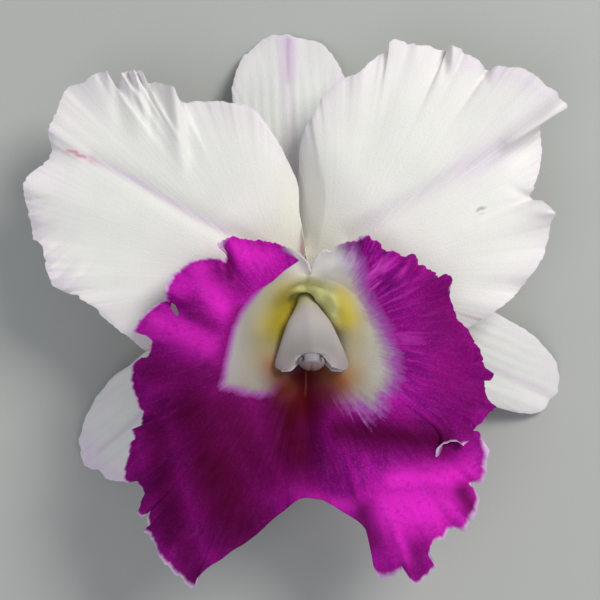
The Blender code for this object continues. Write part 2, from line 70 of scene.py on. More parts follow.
def add_node(material, kind, inputs=None, **settings):
    """Add one node: its own settings, and for each socket a value or the node that feeds it."""
    tree = material.node_tree
    node = tree.nodes.new("ShaderNode" + kind)
    for name, value in settings.items():
        setattr(node, name, value)
    for socket, value in (inputs or {}).items():
        if isinstance(value, bpy.types.Node):
            value = value.outputs[0]
        if isinstance(value, bpy.types.NodeSocket):
            tree.links.new(value, node.inputs[socket])
        else:
            node.inputs[socket].default_value = value
    return node


def new_material(name):
    material = bpy.data.materials.new(name)
    material.use_nodes = True
    material.node_tree.nodes.clear()
    return material


def smooth(value, start, end):
    """0 before start, 1 after end, and an even bend between."""
    u = np.clip((value - start) / (end - start), 0, 1)
    return u * u * (3 - 2 * u)


def trace(points, steps, measured=2):
    """Even steps along a smooth curve through points that may be unevenly spaced."""
    given = np.array(points, float)
    chord = np.linalg.norm(np.diff(given[:, :measured], axis=0), axis=1)
    at = np.concatenate([[0], np.cumsum(chord)])
    rise = np.diff(given, axis=0) / chord[:, None]
    before, after = chord[:-1, None], chord[1:, None]
    middle = (rise[:-1] * after + rise[1:] * before) / (before + after)
    slope = np.vstack([rise[:1], middle, rise[-1:]])
    stops = np.linspace(0, at[-1], 8 * steps + 1)      # eight to each step that is wanted
    k = np.clip(np.searchsorted(at, stops, side="right") - 1, 0, len(chord) - 1)
    h = chord[k][:, None]
    u = ((stops - at[k]) / chord[k])[:, None]
    line = given[k] * (2 * u**3 - 3 * u**2 + 1) + slope[k] * h * (u**3 - 2 * u**2 + u)
    line = line + given[k + 1] * (3 * u**2 - 2 * u**3) + slope[k + 1] * h * (u**3 - u**2)
    length = np.linalg.norm(np.diff(line[:, :measured], axis=0), axis=1)
    along = np.concatenate([[0], np.cumsum(length)])
    even = np.linspace(0, along[-1], steps + 1)
    return np.column_stack([np.interp(even, along, column) for column in line.T])


def add_piece(name, points, faces, material, node, slot, fields=None):
    """One piece from points in the bloom's frame, with its fields for the material to read."""
    world = np.array(points, float).reshape(-1, 3)
    world = (world + (-SPREAD_CENTRE[0], -SPREAD_CENTRE[1], REST_DEPTH)) * MM
    mesh = bpy.data.meshes.new(name)
    mesh.from_pydata(world.tolist(), [], [list(face) for face in faces])
    edit = bmesh.new()
    edit.from_mesh(mesh)
    bmesh.ops.recalc_face_normals(edit, faces=edit.faces)
    edit.to_mesh(mesh)
    edit.free()
    for field, values in (fields or {}).items():
        values = np.array(values, np.float32)
        flat = values.ndim == 1
        store = mesh.attributes.new(field, "FLOAT" if flat else "FLOAT_VECTOR", "POINT")
        store.data.foreach_set("value" if flat else "vector", values.ravel())
    mesh.shade_smooth()
    mesh.set_sharp_from_angle(angle=math.radians(60))
    mesh.materials.append(material)
    piece = bpy.data.objects.new(name, mesh)
    bpy.context.scene.collection.objects.link(piece)
    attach(piece, "root")
    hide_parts(node)
    return piece


def even_turns(sides):
    """Angles evenly round a ring."""
    return np.arange(sides) * 2 * math.pi / sides


def loft(rings):
    """Points and faces of a closed body through equal rings, with a last point in each end."""
    rings = np.array(rings)
    count, sides = rings.shape[:2]
    points = np.vstack([rings.reshape(-1, 3), rings[0].mean(axis=0), rings[-1].mean(axis=0)])
    ring = np.arange(count * sides).reshape(count, sides)
    nxt = np.roll(ring, -1, axis=1)
    walls = np.stack([ring[:-1], nxt[:-1], nxt[1:], ring[1:]], axis=-1).reshape(-1, 4).tolist()
    first, last = count * sides, count * sides + 1
    ends = [(first, nxt[0, k], ring[0, k]) for k in range(sides)]
    ends += [(last, ring[-1, k], nxt[-1, k]) for k in range(sides)]
    return points, walls + [[int(i) for i in face] for face in ends]


def stem_skin():
    """Living green stem: a waxy skin over wet pulp, which shows paler in the cut end."""
    skin = new_material("green_stem_skin")
    place = add_node(skin, "TexCoord").outputs["Object"]
    along = add_node(skin, "Attribute", attribute_name="round").outputs["Vector"]
    pale = add_node(skin, "Attribute", attribute_name="pale").outputs["Fac"]
    cut = add_node(skin, "Attribute", attribute_name="cut").outputs["Fac"]
    # Blotches about 4 mm long, fine stripes along the ribs and grain of 0.4 mm
    blotch = add_node(skin, "TexNoise", {"Vector": place, "Scale": 1 / (4 * MM), "Detail": 3})
    stripe = add_node(skin, "TexNoise", {"Vector": along, "Scale": 1.0, "Detail": 4})
    grain = add_node(skin, "TexNoise", {"Vector": place, "Scale": 1 / (0.4 * MM), "Detail": 2})
    light = add_node(skin, "MapRange", {"Value": stripe, "From Min": 0.45, "From Max": 0.75,
                                        "To Max": 0.5})
    # The pulp's cells are drawn 0.6 mm wide, coarser than they are, so that they show
    cell = add_node(skin, "TexVoronoi", {"Vector": place, "Scale": 1 / (0.6 * MM)})
    pith = add_node(skin, "MixRGB", {"Fac": cell.outputs["Distance"], "Color1": colour("#8c9456"),
                                     "Color2": colour("#d9dcae")})
    body = colour("#7e9a49")
    for amount, tint in ((blotch, colour("#a9bb74")), (light, colour("#c6cf9a")),
                         (pale, colour("#cfd98a")), (cut, pith)):
        body = add_node(skin, "MixRGB", {"Fac": amount, "Color1": body, "Color2": tint})
    relief = add_node(skin, "Math", {0: stripe, 1: grain}, operation="ADD")
    bump = add_node(skin, "Bump", {"Height": relief, "Distance": 0.06 * MM, "Strength": 0.6})
    shader = add_node(skin, "BsdfPrincipled", {
        "Base Color": body, "Roughness": 0.42, "IOR": 1.42, "Normal": bump,
        "Subsurface Weight": 0.2, "Subsurface Radius": (0.6, 1.0, 0.3), "Subsurface Scale": 0.8 * MM})
    add_node(skin, "OutputMaterial", {"Surface": shader})
    return skin


stalk = trace(STALK_LINE, STALK_STEPS, measured=3)
stalk_turns = even_turns(STALK_SIDES)
peg = [NECK[0] + PEG_RADIUS * np.cos(stalk_turns), NECK[1] + PEG_RADIUS * np.sin(stalk_turns)]
stalk_rings = [np.column_stack([*peg, np.full(STALK_SIDES, top)]) for top in (PEG_TOP, NECK_TOP)]
for i, (x, y, z, radius) in enumerate(stalk):
    heading = stalk[min(i + 1, STALK_STEPS), :3] - stalk[max(i - 1, 0), :3] if i else (0, 0, -1.0)
    side = np.cross((1, 0, 0), heading)
    side = side / np.linalg.norm(side)
    share = i / STALK_STEPS
    ribs = RIB_SHARE * smooth(share, 0.05, 0.25) * (1 - smooth(share, 0.45, 0.7))
    knobbly = KNOB_SHARE * np.sin(17 * share + 2 * stalk_turns) * np.sin(31 * share + 1.0)
    # The blade's pressure leaves the cut's rim rolled in a little
    rolled = 1 - CUT_ROLL_SHARE * smooth(share, 0.985, 1)
    reach = (radius * rolled * (1 + ribs * np.cos(RIB_COUNT * stalk_turns) + knobbly))[:, None]
    stalk_rings.append(np.array((x, y, z)) + reach * np.cos(stalk_turns)[:, None] * np.array([1.0, 0, 0])
                       + reach * np.sin(stalk_turns)[:, None] * side)
skin_rings = len(stalk_rings)
for shrink in CUT_RINGS:
    centre = stalk[-1, :3] + CUT_DISH * (1 - shrink) * np.array([0, 1.0, 0])
    stalk_rings.append(centre + (stalk_rings[skin_rings - 1] - stalk[-1, :3]) * shrink)
ring_number = np.repeat(np.arange(len(stalk_rings)), STALK_SIDES)
# The stripes: four or five to a rib round the stem, drawn out 10 to 15 mm along it
around = np.tile(stalk_turns, len(stalk_rings))
stripes = np.column_stack([9 * np.cos(around), 9 * np.sin(around), ring_number / 25])
add_piece("ovary_and_stalk", *loft(stalk_rings), stem_skin(), "ovary_stem", "stalk", {
    "round": np.vstack([stripes, np.zeros((2, 3))]),
    "cut": np.concatenate([ring_number >= skin_rings, [0, 1]]),
    "pale": np.concatenate([1 - smooth(ring_number, 2, 14), [1, 0]])})

# The three sepals: narrow white outer blades of living tissue, a firm midrib channel down
# each, grown on the neck's rim under the petals. They bend back until their tips rest on
# the surface, one above and one to each side below.
SEEN_FROM = 420.0          # margins are drawn as they look from this far in front
GAP = 0.3                  # left between pieces that grow together
CLAW_REACH = 2.55          # from the neck's middle out to a blade's claw
CLAW_HALF = 2.3            # half the claw's width
SEPAL_CLAW = 1.1           # thickness of the blade where it grows from the neck
MARGIN_THICKNESS = 0.5
SEPAL_ROOT = NECK_TOP + GAP + SEPAL_CLAW / 2
SEPAL_TILT = 0.42          # how far the blade's thickness leans out
SEPAL_BEND = 2.4           # power of the bend: the higher, the nearer it is to the tip
SEPAL_ROWS, SEPAL_COLUMNS, SEPAL_CRIMP = 64, 240, 0.12
CHANNEL_DEPTH, CHANNEL_WIDTH = 0.8, 2.2
LOW_RIB, LOW_RIB_SPACING = 0.07, 2.6
DRAWN_MIDDLE, DRAWN_PER_MM = 300, 4
# Margins are drawn on squared paper, four squares to the millimetre, with the bloom's middle
# at 300, 300 and the first square at the top left. The third value is the margin's lift, mm.
UPPER_SEPAL = [
    (325, 256, 0), (342, 204, -.5), (351, 148, -1), (351, 100, -1), (346, 82, -.7), (341, 70, -.5),
    (335, 58, -.2), (325, 47, 0), (312, 40, 0), (303, 38, .2), (296, 38.5, .9), (291, 36, 1.2),
    (287, 34.5, 1), (283, 34, .6), (275, 35, 0), (268, 37, -.2), (262, 40, -.4), (250, 50, -.8),
    (240, 62, -1), (235, 75, -1), (232, 90, -1), (233, 103, -1), (238, 140, -1), (254, 196, -.5),
    (280, 256, 0),
]
LEFT_SEPAL = [
    (278, 295, 0), (232, 302, -.5), (184, 326, -1), (145, 352, -1), (130, 365, -1), (115, 375, -1),
    (105, 386, -.8), (96, 398, -.6), (90, 409, -.3), (85, 420, 0), (82, 429, .2), (80, 438, .3),
    (80, 449, .3), (82, 459, 0), (86, 466, -.2), (92, 470, .1), (99, 470.5, .5), (103, 474, .6),
    (107, 478, .3), (114, 480.5, 0), (122, 482, -.2), (152, 474, -.5), (188, 448, -1),
    (230, 400, -1), (274, 350, -.5), (297.5, 325, 0),
]
RIGHT_SEPAL = [
    (318, 320, 0), (356, 346, -.5), (408, 374, -1), (456, 396, -1), (486, 404, -.9), (503, 409, -.8),
    (520, 413, -.3), (535, 413, .3), (542, 411, .8), (546, 407, .9), (547.5, 402, .3),
    (549, 399, -.2), (553, 398, 0), (556, 394, .2), (558, 386, 0), (559, 377, 0), (556, 363, 0),
    (545, 348, 0), (530, 333, -.3), (510, 321, -.6), (488, 309, -1), (444, 294, -1),
    (388, 288, -.5), (334, 286, 0),
]


def on_paper(points):
    """Drawn squares to millimetres in the bloom's frame."""
    drawn = np.array(points, float)
    drawn[:, 0] = (drawn[:, 0] - DRAWN_MIDDLE) / DRAWN_PER_MM
    drawn[:, 1] = (DRAWN_MIDDLE - drawn[:, 1]) / DRAWN_PER_MM
    return drawn


def evened(values, reach):
    """The same run of values with waves shorter than its reach smoothed out and its ends kept."""
    reach = max(int(reach), 1)
    weights = np.exp(-(np.arange(-2 * reach, 2 * reach + 1) / reach) ** 2)
    weights /= weights.sum()
    flat = values.reshape(len(values), -1)
    ahead = 2 * flat[0] - flat[2 * reach:0:-1]
    behind = 2 * flat[-1] - flat[-2:-2 * reach - 2:-1]
    padded = np.concatenate([ahead, flat, behind])
    columns = [np.convolve(column, weights, mode="valid") for column in padded.T]
    return np.stack(columns, axis=-1).reshape(values.shape)


def ripple(along, spacing, seed):
    """A smooth seeded wave between -1 and 1, with one turn or so to each spacing."""
    knots = np.random.default_rng(seed).uniform(-1, 1, int(np.max(along) / spacing) + 4)
    place = along / spacing + 1
    low = place.astype(int)
    u = place - low
    u = u * u * (3 - 2 * u)
    return knots[low] * (1 - u) + knots[low + 1] * u


def as_seen(x, y, z):
    """Real place of a point that is drawn where it is seen from the front."""
    nearer = 1 - z / SEEN_FROM
    return np.stack([x * nearer, y * nearer, z + 0 * x], axis=-1)


def fan(margin, heading, root_height, rows, columns, seed, crimp):
    """Rays from a blade's claw to its margin, closer together near the margin.

    r runs from 0 at the claw to 1 at the margin. Its powers say how far in from the margin a
    form reaches: the higher the power, the less.
    """
    edge = trace(on_paper(margin), columns)
    around = np.linspace(0, 1, columns + 1) * np.linalg.norm(np.diff(edge[:, :2], axis=0), axis=1).sum()
    turn = math.radians(heading)
    out = np.array([math.cos(turn), math.sin(turn)])
    side = np.array([-out[1], out[0]])
    middle = np.array(NECK) + CLAW_REACH * out
    sign = 1 if (edge[0, :2] - middle) @ side > 0 else -1
    on_claw = sign * CLAW_HALF * np.linspace(1, -1, columns + 1)
    r = 1 - (1 - np.linspace(0, 1, rows + 1)[:, None]) ** 1.4
    # The margin is taken apart into its broad waves, its notches and its finest teeth
    even = evened(edge, 0.05 * columns)
    fine = edge - evened(edge, 0.008 * columns)
    notch = edge - even - fine
    away = even[:, :2] - middle
    outward = away / np.linalg.norm(away, axis=1)[:, None]
    # Small teeth, up to 0.4 mm deep and about 1 mm apart; the finest are left out
    teeth = 0.2 * ripple(around, 1.3, seed) + 0.2 * ripple(around, 0.75, seed + 3)
    fine[:, :2] += outward * teeth[:, None]
    reach = away @ out * r + notch[:, :2] @ out * r**5 + fine[:, :2] @ out * r**16
    aside = on_claw + (away @ side - on_claw) * r**1.35
    aside = aside + notch[:, :2] @ side * r**5 + fine[:, :2] @ side * r**16
    centre = middle * (1 + root_height / SEEN_FROM * (1 - r[..., None]))
    x = centre[..., 0] + out[0] * reach + side[0] * aside
    y = centre[..., 1] + out[1] * reach + side[1] * aside
    lift = even[:, 2] * r**4.2 + notch[:, 2] * r**10 + fine[:, 2] * r**16
    crimps = ripple(around, 2.6, seed + 1) * r**9 + 0.7 * ripple(around, 1.1, seed + 2) * r**12
    lift = lift + crimp * crimps
    return x, y, r, lift, reach, aside, around + 0 * r


def surface_normals(grid):
    """Unit normals of a grid of points, averaged over five columns and turned to the front."""
    normal = np.cross(np.gradient(grid, axis=0), np.gradient(grid, axis=1))
    normal /= np.linalg.norm(normal, axis=-1, keepdims=True)
    padded = np.pad(normal, ((0, 0), (2, 2), (0, 0)), mode="edge")
    normal = sum(padded[:, k:k + grid.shape[1]] for k in range(5))
    normal /= np.linalg.norm(normal, axis=-1, keepdims=True)
    return normal if normal[..., 2].mean() > 0 else -normal


def half_through(grid, thickness, facing):
    """Half the blade's thickness, all one way, so that its two faces never cross."""
    facing = np.array(facing) / np.linalg.norm(facing)
    slope = np.clip(surface_normals(grid) @ facing, 0.65, 1)
    return facing * (thickness / slope)[..., None] / 2


def blade_thickness(r, claw, claw_end=0.5, edge_from=0.975, worn=0.55):
    """Thickest at the claw, thin over the blade, and rounded off at the very margin."""
    blade = MARGIN_THICKNESS + (claw - MARGIN_THICKNESS) * (1 - smooth(r, 0, claw_end))
    return blade * (1 - worn * smooth(r, edge_from, 1))


def add_blade(name, grid, half, material, node, slot, fields, fine_from=0, opening=None):
    """A closed blade round a grid of points, with a field that tells its back from its face.

    Up to the row fine_from it takes every second column only. Faces with all their corners in
    the opening are left out.
    """
    at = np.arange(grid.shape[0] * grid.shape[1]).reshape(grid.shape[:2])

    def squares(block):
        corners = [block[:-1, :-1], block[:-1, 1:], block[1:, 1:], block[1:, :-1]]
        return np.stack(corners, axis=-1).reshape(-1, 4).tolist()

    front = squares(at[fine_from + 1 if fine_from else 0:])
    if fine_from:
        plain, fine = at[fine_from, ::2], at[fine_from + 1]
        band = [plain[:-1], plain[1:], fine[2::2], fine[1::2], fine[:-1:2]]
        front += squares(at[:fine_from + 1, ::2]) + np.stack(band, axis=-1).tolist()
    if opening is not None:
        missing = set(at[opening].tolist())
        front = [face for face in front if not missing.issuperset(face)]
    used = np.unique([corner for face in front for corner in face])
    place = np.zeros(at.size, int)
    place[used] = np.arange(len(used))
    front = [place[face].tolist() for face in front]
    open_edges = {}
    for face in front:
        for a, b in zip(face, face[1:] + face[:1]):
            if open_edges.pop((b, a), None) is None:
                open_edges[a, b] = True
    count = len(used)
    faces = front + [[corner + count for corner in face[::-1]] for face in front]
    faces += [[b, a, a + count, b + count] for a, b in open_edges]
    middle, through = grid.reshape(-1, 3)[used], half.reshape(-1, 3)[used]
    doubled = {"back": np.repeat([0.0, 1.0], count)}
    for field, values in fields.items():
        values = np.broadcast_to(values, at.shape + values.shape[2:])
        values = values.reshape((at.size,) + values.shape[2:])[used]
        doubled[field] = np.concatenate([values, values])
    points = np.concatenate([middle + through, middle - through])
    return add_piece(name, points, faces, material, node, slot, doubled)


def white_tissue(name, white, shade, rib_tint):
    """White petal skin: cells like tiny lenses over airy, faintly see-through tissue."""
    skin = new_material(name)
    place = add_node(skin, "TexCoord").outputs["Object"]
    ray = add_node(skin, "Attribute", attribute_name="ray").outputs["Vector"]
    # Veins run out along the rays, about 1.6 mm apart at the margin, and branch a little
    drawn_out = add_node(skin, "VectorMath", {0: ray, 1: (1 / 1.6, 1 / 30, 1)}, operation="MULTIPLY")
    vein = add_node(skin, "TexNoise", {"Vector": drawn_out, "Scale": 1.0, "Detail": 3,
                                       "Distortion": 0.25})
    # Skin cells are 0.05 mm; they are drawn 0.4 mm wide, the finest that shows here
    cells = add_node(skin, "TexNoise", {"Vector": place, "Scale": 1 / (0.4 * MM), "Detail": 2})
    cloud = add_node(skin, "TexNoise", {"Vector": place, "Scale": 1 / (14 * MM), "Detail": 3})
    mottle = add_node(skin, "MapRange", {"Value": cloud, "From Min": 0.35, "From Max": 0.7})
    body = add_node(skin, "MixRGB", {"Fac": mottle, "Color1": colour(white), "Color2": colour(shade)})
    line = add_node(skin, "MapRange", {"Value": vein, "From Min": 0.5, "From Max": 0.72,
                                       "To Max": 0.16})
    body = add_node(skin, "MixRGB", {"Fac": line, "Color1": body, "Color2": colour("#dfe6e2")})
    for field, tint, uneven in (("base", "#f0f1de", 0.2), ("blush", "#ecd9ee", 0.5),
                                ("rib", rib_tint, 0.5), ("mark", "#d98fae", 0.4),
                                ("scar", "#8d7a6a", 0.8)):
        amount = add_node(skin, "Attribute", attribute_name=field).outputs["Fac"]
        broken = add_node(skin, "MapRange", {"Value": vein, "From Min": 0.3, "From Max": 0.7,
                                             "To Min": 1 - uneven, "To Max": 1 + uneven})
        amount = add_node(skin, "Math", {0: amount, 1: broken}, operation="MULTIPLY", use_clamp=True)
        body = add_node(skin, "MixRGB", {"Fac": amount, "Color1": body, "Color2": colour(tint)})
    fine = add_node(skin, "Bump", {"Height": cells, "Distance": 0.09 * MM, "Strength": 1.0})
    bump = add_node(skin, "Bump", {"Height": vein, "Distance": 0.09 * MM, "Strength": 0.8,
                                   "Normal": fine})
    shader = add_node(skin, "BsdfPrincipled", {
        "Base Color": body, "Roughness": 0.5, "IOR": 1.4, "Normal": bump,
        "Subsurface Weight": 0.35, "Subsurface Radius": (1.0, 0.95, 0.85),
        "Subsurface Scale": 0.8 * MM, "Sheen Weight": 0.12, "Sheen Roughness": 0.4})
    add_node(skin, "OutputMaterial", {"Surface": shader})
    return skin


def nearest(x, y, start, step):
    """How far each place is from the nearest of some straight steps, in millimetres."""
    offset = np.stack([x, y], axis=-1)[..., None, :] - start
    along = np.clip((offset * step).sum(-1) / (step**2).sum(-1), 0, 1)
    return np.linalg.norm(offset - step * along[..., None], axis=-1).min(axis=-1)


def spot(x, y, places, width):
    """1 along a drawn line of places, fading to 0 over its width in millimetres."""
    line = on_paper(places)
    return np.exp(-(nearest(x, y, line[:-1], np.diff(line, axis=0)) / width) ** 2)


def with_tints(fields, x, y, tints):
    """The fields with soft patches in them: the field, its places, width and strength."""
    for field, places, width, strength in tints:
        fields[field] = np.maximum(fields[field], strength * spot(x, y, places, width))
    return fields


def add_sepal(name, margin, heading, length, node, tints, seed):
    """One sepal, bent back until its tip just meets the surface."""
    x, y, r, lift, reach, aside, _ = fan(margin, heading, SEPAL_ROOT, SEPAL_ROWS, SEPAL_COLUMNS,
                                         seed, SEPAL_CRIMP)
    way = np.clip(reach / length, 0, 1.2)
    channel = -CHANNEL_DEPTH * np.exp(-(aside / CHANNEL_WIDTH) ** 2)
    channel = channel * smooth(way, 0.03, 0.3) * (1 - way / 1.3)
    ribs = LOW_RIB * np.cos(aside * 2 * math.pi / LOW_RIB_SPACING)
    ribs = ribs * smooth(r, 0.1, 0.3) * (1 - smooth(r, 0.8, 1))
    z = SEPAL_ROOT + channel + ribs + lift
    turn = math.radians(heading)
    facing = (SEPAL_TILT * math.cos(turn), SEPAL_TILT * math.sin(turn), 1)
    # The tip's drop is corrected until its underside meets the surface
    drop = REST_DEPTH + SEPAL_ROOT
    for _ in range(4):
        bent = as_seen(x, y, z - drop * way**SEPAL_BEND)
        half = half_through(bent, blade_thickness(r, SEPAL_CLAW), facing)
        drop += (bent - half)[..., 2].min() + REST_DEPTH
    grid = as_seen(x, y, z - drop * way**SEPAL_BEND)
    fields = {"ray": np.stack([aside, reach, 0 * x], axis=-1), "blush": 0.35 * r**10 + 0 * x,
              "base": 1 - smooth(reach, 0, 14), "rib": 0 * x, "mark": 0 * x}
    add_blade(name, grid, half, sepal_tissue, node, "sepal", with_tints(fields, x, y, tints))


sepal_tissue = white_tissue("sepal_tissue", "#eff0ea", "#e5e8e4", "#cbaed2")
add_sepal("upper_sepal_blade", UPPER_SEPAL, 93, 60, "dorsal_sepal", [
    ("rib", [(289, 44), (288, 85), (293, 150), (298, 250)], 1.4, 0.42),
    ("rib", [(289, 40), (288, 84)], 0.7, 0.9), ("blush", [(288, 34), (289, 70)], 3.2, 0.7),
    ("mark", [(298, 238), (308, 262)], 2.0, 0.35)], 11)
add_sepal("left_sepal_blade", LEFT_SEPAL, 220, 67, "left_sepal", [
    ("blush", [(84, 440), (92, 466), (118, 478)], 3.0, 0.8),
    ("rib", [(270, 320), (180, 380), (100, 450)], 0.8, 0.3)], 21)
add_sepal("right_sepal_blade", RIGHT_SEPAL, 337, 64, "right_sepal", [
    ("rib", [(340, 305), (440, 345), (545, 390)], 0.8, 0.25)], 31)

# The two petals: broad white blades, thin and waved, with a lavender midrib. They grow from
# the neck above the sepals, spread nearly flat, and are pleated and toothed at the margin.
PETAL_CLAW = 1.0
PETAL_ROOT = SEPAL_ROOT + SEPAL_CLAW / 2 + GAP + PETAL_CLAW / 2
PETAL_ROWS, PETAL_COLUMNS, PETAL_CRIMP = 72, 560, 0.2
PETAL_DROOP = 3.2          # at 74 mm from the claw, about where the tip is
MIDRIB_DEPTH, MIDRIB_WIDTH = 1.0, 2.6
STRIP_SLOPE = 0.45
LEFT_PETAL = [
    (306, 253, 2), (303, 232, .6), (299.5, 212, -1), (298, 185, -2), (294, 174, -2),
    (290, 165, -2), (285, 155, -1.6),
    (280, 145, -1), (270, 130, -.3), (262, 118, .4), (252, 108, 1), (240, 104, 1.1), (230, 103, 1),
    (219, 101.5, .5), (208, 101, 0), (195, 101.5, -.6), (182, 102, -1), (178.5, 98.5, .5),
    (176, 93, 1.8), (174, 87, 2.8), (170, 85.5, 2.4), (165, 85, 1.6), (158, 83, .6), (153, 82, -.6),
    (148, 83, -1.4), (145, 80, -.4), (143.5, 75, 1.4), (142, 71, 2.2), (139, 71, 1.2),
    (136, 72, -.6), (134, 69, 1.2), (131, 70, .6), (128, 72, -1.4), (125, 73, -.4), (122, 73, .8),
    (121, 76, -.6), (120, 80, -2), (116, 82, -2.4), (112, 83, -1.6), (110, 80, -.2), (108, 74, 1),
    (106.5, 70.5, 1.8), (104, 73, 1.2), (98, 73, .8), (94, 75, .3), (90, 77, -.1), (83, 83, -1),
    (75, 85, -1.8), (68, 88, -2), (64, 91, -1.6), (62, 95, -1.2), (60, 103, -.6), (57, 112, 0),
    (52, 122, .4), (48, 131, .6), (49, 136, -.4), (50, 140, -1), (52, 150, -2), (50, 155, -1.8),
    (45, 163, -.8), (38, 168, .6), (30, 173, 1.6), (25, 180, 2.2), (23, 187, 2), (24, 192, 1),
    (25, 197, .2), (27, 204, -.6), (28, 210, -1.2), (30, 220, -2.2), (32, 230, -3), (34, 240, -2.4),
    (38, 241, -1.6), (40, 243, -.8), (43, 250, -.2), (45, 258, .4), (45.5, 263, 0), (46, 268, .8),
    (47.5, 273, .4), (49, 278, 1.4), (51, 282, .8), (53, 285, .2), (60, 290, -.8), (64, 292, -1.4),
    (68, 293, -1.6), (72, 294.5, -.6), (77, 295, .6), (81, 299, 1), (85, 302, .8), (95, 308, .2),
    (103, 317, -.6), (110, 323, -1), (120, 331, 0), (130, 338, 1.2), (146, 351, 1), (188, 354, -.8),
    (240, 335, -1), (282, 312, 1),
]
RIGHT_PETAL = [
    (303.5, 246, 0), (300, 228, -1), (298, 210, -1.6), (298.5, 188, -1.8), (299, 165, -1.8),
    (300, 145, -1.6), (303, 133, -1.6), (310, 120, -1.8), (316, 110, -1.4), (322, 98, -1),
    (330, 90, -.6), (342, 80, 0), (350, 76, .4), (362, 70, 1), (370, 62, .6), (380, 55, .2),
    (388, 50, .6), (389, 45, 1.8), (389.5, 42, 2.6), (392, 40, 2.6), (397, 39.5, 1.8),
    (402, 40, 1.4), (407, 43, .8), (413, 44, 1), (420, 45, .6), (430, 46, 0), (437, 49, -.8),
    (443, 50.5, -1.6), (447, 51, -2), (448, 46.5, .8), (450, 45, 2.2), (455, 46, 2.4),
    (461, 49, 1.6), (463, 53, .6), (467, 54, 1), (472, 56, 1), (476, 58, .6), (479, 60, .2),
    (482, 66, -1.2), (486, 70, -2.4), (490, 70, -1.8), (492, 68, -.4), (495, 67, .4), (505, 67, 1.4),
    (515, 67, 2.6), (524, 69, 3.2), (532, 73, 3.8), (540, 80, 4.2), (548, 86, 4.2), (555, 91, 4.2),
    (560, 98, 4.6), (565, 103, 5), (568, 107, 5), (564, 110, 4.6), (558, 112.5, 3.5), (552, 114, 2),
    (546, 118, 0), (541, 124, -3), (540, 134, -4.5), (542, 148, -4.5), (541, 160, -3),
    (538, 175, -1.6), (533, 190, -1.4), (530.5, 196, -3), (532, 199.5, -3.4), (537, 200, -1.6),
    (543, 201, 0), (550, 206, 2.2), (555, 212, 3), (553, 218, 1.8), (549, 226, .2), (549, 234, -.8),
    (547, 245, -1.4), (543, 258, -.2), (536, 268, 1.2), (528, 278, .6), (520, 290, -1),
    (508, 302, .8), (500, 308, 1.6), (490, 315, .8), (478, 322, -.5), (467, 328, -.8),
    (436, 338, -1.5), (380, 332, -1), (330, 309.6, 1),
]


def beside(x, y, outer, inner):
    """Places measured from a drawn line: the share along it, and millimetres aside from it."""
    (ox, oy), (ix, iy) = on_paper([outer, inner])
    length = math.hypot(ix - ox, iy - oy)
    along = ((x - ox) * (ix - ox) + (y - oy) * (iy - oy)) / length**2
    return along, ((x - ox) * (iy - oy) - (y - oy) * (ix - ox)) / length


def pleat(x, y, outer, inner, width, height):
    """A narrow fold from the margin at outer, fading out at inner; width and height in mm."""
    along, aside = beside(x, y, outer, inner)
    spread = width * (0.75 + 0.5 * np.clip(along, 0, 1))
    return height * np.exp(-(aside / spread) ** 2) * (1 - smooth(along, 0.05, 1))


def ledge(x, y, outer, inner, width, height, spread):
    """A step beside a line: its left side up and its right side down, steepest on the line."""
    along, aside = beside(x, y, outer, inner)
    fade = smooth(along, -0.25, 0.1) * (1 - smooth(along, 0.55, 1.05))
    return height * np.tanh(aside / width) * np.exp(-(aside / spread) ** 2) * fade


def inner_strip(x, y):
    """The right petal's inner margin is turned back along a crease beside the upper sepal."""
    crease = on_paper([(300, 262), (318, 250), (323, 225), (326, 200), (324, 180), (318, 150),
                       (311, 122), (304, 100)])
    across = np.interp(y, crease[:, 1], crease[:, 0]) - x
    turned = 0.5 * (across + np.sqrt(across**2 + 0.15))
    return -STRIP_SLOPE * turned * (smooth(y, 10, 17) * (1 - smooth(y, 40, 47)))


def add_petal(name, margin, heading, midrib, relief, node, tints, seed):
    """One petal: it rises from the claw, spreads flat and waves at the margin."""
    x, y, r, lift, reach, _, around = fan(margin, heading, PETAL_ROOT, PETAL_ROWS, PETAL_COLUMNS,
                                          seed, PETAL_CRIMP)
    rise = -PETAL_ROOT * smooth(reach, -2, 26)
    fall = -PETAL_DROOP * np.clip((reach - 24) / 50, 0, 2) ** 2
    z = PETAL_ROOT + rise + fall - MIDRIB_DEPTH * spot(x, y, midrib, MIDRIB_WIDTH) + lift
    for form, *drawn in relief:
        z = z + form(x, y, *drawn)
    grid = as_seen(x, y, z)
    half = half_through(grid, blade_thickness(r, PETAL_CLAW), (0, 0, 1))
    fields = {"ray": np.stack([around, reach, 0 * x], axis=-1), "blush": 0.4 * r**12 + 0 * x,
              "base": 1 - smooth(reach, 2, 24), "rib": 0 * x, "mark": 0 * x, "scar": 0 * x}
    add_blade(name, grid, half, petal_tissue, node, "petal", with_tints(fields, x, y, tints))


petal_tissue = white_tissue("petal_tissue", "#f6f5ee", "#efefe9", "#cfb4d6")
